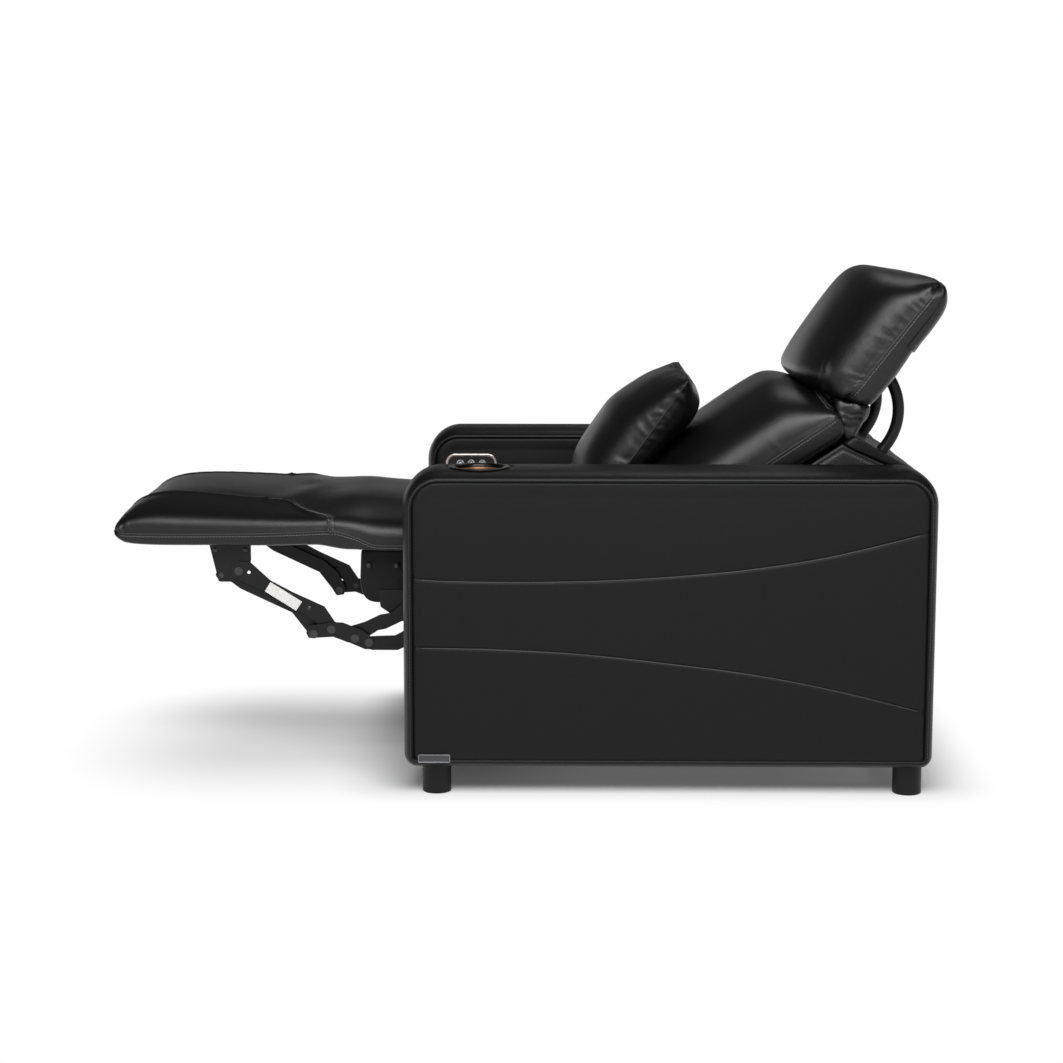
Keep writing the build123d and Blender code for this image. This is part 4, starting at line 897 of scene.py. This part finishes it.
wing_leather = leather("wing_leather", 0.006, 0.42, 0.32)
back_front = [
    (-125, 96), (-124, 125), (-116, 158), (-92, 184), (-50, 199), (20, 208), (90, 212), (160, 213.5), (213, 213),
    (238, 211), (255, 205), (269, 195), (280, 184), (291, 170), (301, 152), (309, 133), (312.5, 116), (313, 98),
]
back_behind = [
    (-125, 96), (-122, 78), (-112, 62), (-90, 53.5), (-60, 52), (60, 52), (200, 52), (285, 52), (302, 56),
    (311, 70), (313, 98),
]
back_side = [(-122, 98), (-60, 97), (40, 97), (142, 98), (240, 98.5), (308, 99)]
sheets = two_sheets(back_front, back_behind, back_side, 281.0, (2.9, 7.0), 130, 120, 14.0, 3.0)
points, faces = sew(sheets)
back_edges = [sheets[0][end] for end in (0, -1)]
points += normals(points, faces) * ripple(points, 31, 150, 0.7)[:, None]
half_seam = [(300, -262, 112), (302, -240, 132), (304, -190, 144), (304, -120, 147), (304, 0, 148)]
top_seam = smooth_line(mirrored(half_seam), 120)
for k, edge in enumerate(back_edges):
    points = gathered(points, faces, edge, 26, 0.6, 17, 41 + k)
    points = pressed(points, faces, edge, 1.8, 3.4)
points = pressed(points, faces, snapped(points, top_seam), 3.0, 5.0)
points = gathered(points, faces, snapped(points, top_seam), 26, 0.7, 22, 47)
top_row = snapped(points, top_seam)
back_rows = [beside(snapped(points, edge)[2:-2], (0, 0, 1.0)) for edge in back_edges]
back_cover = piece(
    "back_cushion_cover", leaned(points, *back_view), faces, cushion_leather, "back"
)
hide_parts("back_cushion")
welt("back_cushion_welt", [leaned(row, *back_view) for row in back_rows], 1.1, "back")
sewn = beside_seams(back_edges, 5, 4.6) + [offset_on(top_row, step) for step in (4.0, -4.0)]
sewn = [leaned(line, *back_view) for line in sewn]
stitches("back_cushion_stitches", back_cover, sewn, "back")


def filled(points, each):
    """The outline's corners with more points along its straight runs."""
    points = [np.array(p, float) for p in points]
    out = []
    for a, b in zip(points, points[1:] + points[:1]):
        size = np.linalg.norm(b - a)
        inset = min(4.0, size / 4) / size
        for share in np.linspace(inset, 1 - inset, max(int(size / each), 1) + 1):
            out.append(tuple(a + (b - a) * share))
    return out


# each wing is a padded side whose face swells between the seams of its border
wing_low, wing_high = -74.0, 50.5
for side, sign in sides:
    columns, levels = 90, 46
    rows = []
    for n in range(levels + 1):
        up = eased(n, levels)
        w = wing_low + (wing_high - wing_low) * up
        start = -60.0 + 80.0 * max(up - 0.3, 0) / 0.7
        stop = 364.5 + (287.0 - 364.5) * up
        for k in range(columns + 1):
            u = start + (stop - start) * eased(k, columns)
            inside = min(u - start, (stop - u) * 0.85, w - wing_low, wing_high - w)
            rise = min(max(inside, 0) / 16, 1)
            lift = 5.0 * math.sqrt(max(1 - (1 - rise) ** 2, 0)) - 5.0
            lift += 3.2 * (1 - math.exp(-max(inside - 9, 0) / 24)) - 1.4 * math.exp(-(((inside - 9) / 2.6) ** 2))
            rows.append((u, sign * (269.4 + lift), w))
    outer = np.array(rows)
    outer[:, 1] += ripple(outer, 35 + sign, 60, 0.5)
    inner = outer.copy()
    inner[:, 1] = sign * 257.0
    points = np.vstack([outer, inner])
    wide = columns + 1
    faces = grid_faces(levels + 1, wide, flip=sign > 0)
    faces += grid_faces(levels + 1, wide, start=len(outer), flip=sign < 0)
    loop = list(range(wide)) + [n * wide + columns for n in range(1, levels + 1)]
    loop += [levels * wide + k for k in range(columns - 1, -1, -1)] + [n * wide for n in range(levels - 1, 0, -1)]
    for a, b in zip(loop, loop[1:] + loop[:1]):
        quad = (a, a + len(outer), b + len(outer), b)
        faces.append(quad if sign < 0 else quad[::-1])
    wing = piece(
        f"back_wing_{side}_cover", leaned(points, *back_view), faces, wing_leather, "back"
    )
    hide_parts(f"back_wing_{side}")
    border = [(60, 39), (200, 39), (268, 39), (283, 34), (296, 14), (322, -28), (344, -62)]
    border = smooth_line([(u, sign * 270, w) for u, w in border], 120)
    sewn = [leaned(border, *back_view)]
    stitches(f"back_wing_{side}_stitches", wing, sewn, "back")

# the rear panel is a thin padded board with rolled-over edges
line = smooth_line(filled([(-22, -74), (363, -74), (352, -57), (-22, -57)], 16.0), 300, closed=True)
run = np.roll(line, -1, 0) - np.roll(line, 1, 0)
inward = unit(np.column_stack([-run[:, 1], run[:, 0]]))
panel_half, panel_roll = 256.7, 3.0
rings = []
for end in (-1, 1):
    part = []
    for k in range(7):
        turn = math.pi / 2 * k / 6
        ring = line + inward * (panel_roll * (1 - math.sin(turn)))
        part.append(at_y(ring, end * (panel_half - panel_roll * (1 - math.cos(turn)))))
    rings += part[::-end]
points = leaned(np.vstack(rings), *back_view)
faces = grid_faces(len(rings), len(line), True, capped=True)
rear_panel = piece("back_panel_cover", points, faces, arm_leather, "back")
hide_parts("back_panel")

# the cap is a soft roll over the shell's top edge, from wing to wing, with a slot for each bow
cap_outline = [
    (289, 50.2), (300, 52.5), (310, 53), (316, 47), (324, 33), (336, 8), (348, -16), (360, -38), (372, -60),
    (376, -68), (377, -73), (372, -75), (366, -73), (358, -60), (338, -30), (312, 10), (295, 36),
]
line = smooth_line(cap_outline, 150, closed=True)
middle = line.mean(0)
rows = []
for k in range(101):
    share = -1 + 2 * k / 100
    narrowed = 0.55 + 0.45 * max(1 - abs(share) ** 14, 0.0) ** 0.5
    rows.append(at_y(middle + (line - middle) * narrowed, 274.0 * math.sin(share * math.pi / 2)))
points = np.vstack(rows)
bow_y, slot_half = 150.0, 13.5
faces = []
for face in grid_faces(len(rows), len(line), True, capped=True):
    u, y, w = points[list(face)].mean(0)
    if not (abs(abs(y) - bow_y) < slot_half and 344 < u and -58 < w < -8):
        faces.append(face)
points += ripple(points, 51, 90, 0.5)[:, None] * np.array([0.83, 0, 0.55])
cap = piece("back_top_cap_cover", leaned(points, *back_view), faces, arm_leather, "back")
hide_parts("back_top_cap")
dress(powder_coat, "recline_tube", "back_frame")

# ---------------------------------------------------------------- headrest
# A thick pad on a steel plate, sewn from a front sheet and a rear sheet, with
# a loose flap behind. Two bent tubes carry it and slide into the back. Folded
# leather closes the neck at each side.
head_view = (592.663, 682.107), math.radians(52.1)
head_front = [
    (24, 20.6), (14, 32), (4, 50), (-3, 74), (-5.5, 96), (-3, 112), (5, 121.5), (22, 127), (60, 132.5), (120, 136.5),
    (170, 138), (200, 137.5), (222, 134.5), (239, 128), (253, 116.5), (264, 99), (275, 78), (286, 57), (295, 40),
    (299, 29), (300, 18),
]
head_rear = [
    (24, 20.6), (25.5, 6), (29, -10), (36, -21), (50, -28), (88, -29.5), (122, -29), (160, -26), (190, -25),
    (230, -25), (258, -23), (276, -17), (289, -6), (297, 6), (300, 18),
]
head_side = [(27, 20.6), (100, 20.6), (200, 20.6), (262, 20.6), (282, 18)]
sheets = two_sheets(head_front, head_rear, head_side, 281.0, (2.75, 7.0), 124, 120, 26.0, 5.0)
points, faces = sew(sheets)
head_edges = [sheets[0][end] for end in (0, -1)]
points += normals(points, faces) * ripple(points, 61, 150, 0.6)[:, None]
for k, edge in enumerate(head_edges):
    points = gathered(points, faces, edge, 30, 0.9, 15, 71 + k)
    points = pressed(points, faces, edge, 2.0, 3.6)
for end in (1, -2):
    points = gathered(points, faces, sheets[0][:, end], 30, 0.9, 22, 81 + end)
for sign in (-1, 1):
    dimple = smooth_line([(14, sign * 236, 66), (24, sign * 244, 74), (40, sign * 246, 76), (52, sign * 240, 82)], 20)
    points = pressed(points, faces, snapped(points, dimple), 4.2, 7.5)
head_rows = [beside(snapped(points, edge)[2:-2], (0, 0, 1.0)) for edge in head_edges]
head_cover = piece(
    "headrest_cover_sewn", leaned(points, *head_view), faces, cushion_leather, "headrest"
)
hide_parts("headrest_cushion", "headrest_cover")
welt("headrest_welt", [leaned(row, *head_view) for row in head_rows], 1.25, "headrest")
sewn = [leaned(line, *head_view) for line in beside_seams(head_edges, 5, 4.6)]
stitches("headrest_stitches", head_cover, sewn, "headrest")

# the flap lies over the rear sheet from its top down and ends in a turned hem
rear_sheet = sheets[1]
heights = rear_sheet[60, :, 0]
taken = [j for j in range(len(heights)) if 166 <= heights[j] <= 296]
cloth = rear_sheet[2:-2, taken].transpose(1, 0, 2)
away = unit(np.cross(np.gradient(cloth, axis=1), np.gradient(cloth, axis=0)))
slack = np.linspace(1, 0, len(taken))[:, None, None]
outer = cloth + away * (0.6 + 3.0 * slack)
outer += away * (ripple(cloth.reshape(-1, 3), 91, 60, 0.6).reshape(len(taken), -1, 1) * slack)
hem = [cloth[0] + (0.4, 0, 0) - away[0] * 1.5, outer[0] + (-1.2, 0, 0) - away[0] * 1.0]
faces = grid_faces(len(outer) + 2, outer.shape[1])
points = leaned(np.vstack([*hem, *outer]), *head_view)
flap = piece("headrest_flap", points, faces, cushion_leather, "headrest")
sewn = [leaned(outer[3][3:-3], *head_view)]
stitches("headrest_flap_stitches", flap, sewn, "headrest")
dress(powder_coat, "headrest_plate", "headrest_bows")
dress(rivet_steel, "neck_rod")

# a crumpled leather bag fills each side of the neck, between the back and the headrest
neck_front = [(347, 104), (336, 120), (324, 127), (313, 116), (304, 98), (297, 80), (293, 64), (298, 50)]
neck_behind = [(347, 104), (360, 92), (369, 80), (363, 70), (348, 62), (330, 55), (314, 50), (298, 50)]
neck_seam = [(347, 104), (337, 97), (327, 86), (316, 72), (306, 60), (298, 50)]
for side, sign in sides:
    sheets = two_sheets(neck_front, neck_behind, neck_seam, 60.0, (5.0, 5.0), 64, 64, 6.0, 3.0)
    points, faces = sew(sheets)
    for k, end in enumerate((0, -1)):
        points = gathered(points, faces, sheets[0][end], 24, 3.0, 17, 101 + 2 * k + sign)
    points += normals(points, faces) * ripple(points, 105 + sign, 34, 2.2)[:, None]
    points[:, 1] += sign * 211.0
    gusset = piece(f"neck_gusset_{side}", leaned(points, *back_view), faces, cushion_leather)
    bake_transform(gusset)
    if side == "left":
        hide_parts("neck_gussets")

# ---------------------------------------------------------------- lumbar pillow
# A loose square pillow leans on the back. Two leather sheets are sewn together
# all round, so its corners taper and small gathers run in from its seam.
pillow_view = (130.0, 506.0), math.radians(54.8)
pillow_leather = leather("pillow_leather", 0.0045, 0.3, 0.42, 900.0, 0.0003)
pillow_front = [
    (-4, 0), (-3, 34), (0, 58), (11, 71), (42, 82), (70, 85), (125, 86), (164, 84), (209, 69), (252, 49), (280, 27),
    (293, 12), (298, 0),
]
pillow_behind = [
    (-4, 0), (-2, -14), (6, -24), (40, -36), (90, -46), (150, -56), (200, -63), (238, -66), (266, -58), (284, -38),
    (294, -16), (298, 0),
]
pillow_middle = [(-1, 0), (60, 0), (150, 0), (240, 0), (290, 0)]
sheets = two_sheets(pillow_front, pillow_behind, pillow_middle, 228.0, (2.4, 2.4), 110, 120, 5.0, 1.6)
across = np.abs(np.sin(np.linspace(-1, 1, 121) * math.pi / 2))[:, None]
for sheet in sheets:
    up = np.clip(2 * (sheet[..., 0] + 4) / 302 - 1, -1, 1)
    sheet[..., 1] *= 1 - 0.055 * (1 - np.abs(up) ** 2.5) * across**3
    sheet[..., 0] -= 3.0 * (1 - across**2.5) * np.clip(up, 0, 1) ** 3
points, faces = sew(sheets)
pillow_rim = np.vstack([sheets[0][0], sheets[0][:, -1], sheets[0][-1][::-1], sheets[0][::-1, 0]])
pillow_rim = pillow_rim[np.append(True, np.linalg.norm(np.diff(pillow_rim, axis=0), axis=1) > 0.5)]
points = gathered(points, faces, pillow_rim, 30, 1.2, 17, 121)
for sign in (-1, 1):
    for corner, way in ((-4.0, 1), (298.0, -1)):
        inward = [(corner, sign * 228, 0), (corner + way * 18, sign * 214, 0), (corner + way * 40, sign * 196, 0)]
        points = gathered(points, faces, smooth_line(inward, 14), 36, 1.5, 13, 127 + sign)
points += normals(points, faces) * ripple(points, 131, 130, 0.9)[:, None]
points = pressed(points, faces, pillow_rim, 1.0, 3.0)
pillow_cover = piece(
    "lumbar_pillow_cover", leaned(points, *pillow_view), faces, pillow_leather, "pillow"
)
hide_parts("lumbar_pillow")
welt("lumbar_pillow_welt", [leaned(pillow_rim, *pillow_view)], 1.3, "pillow")
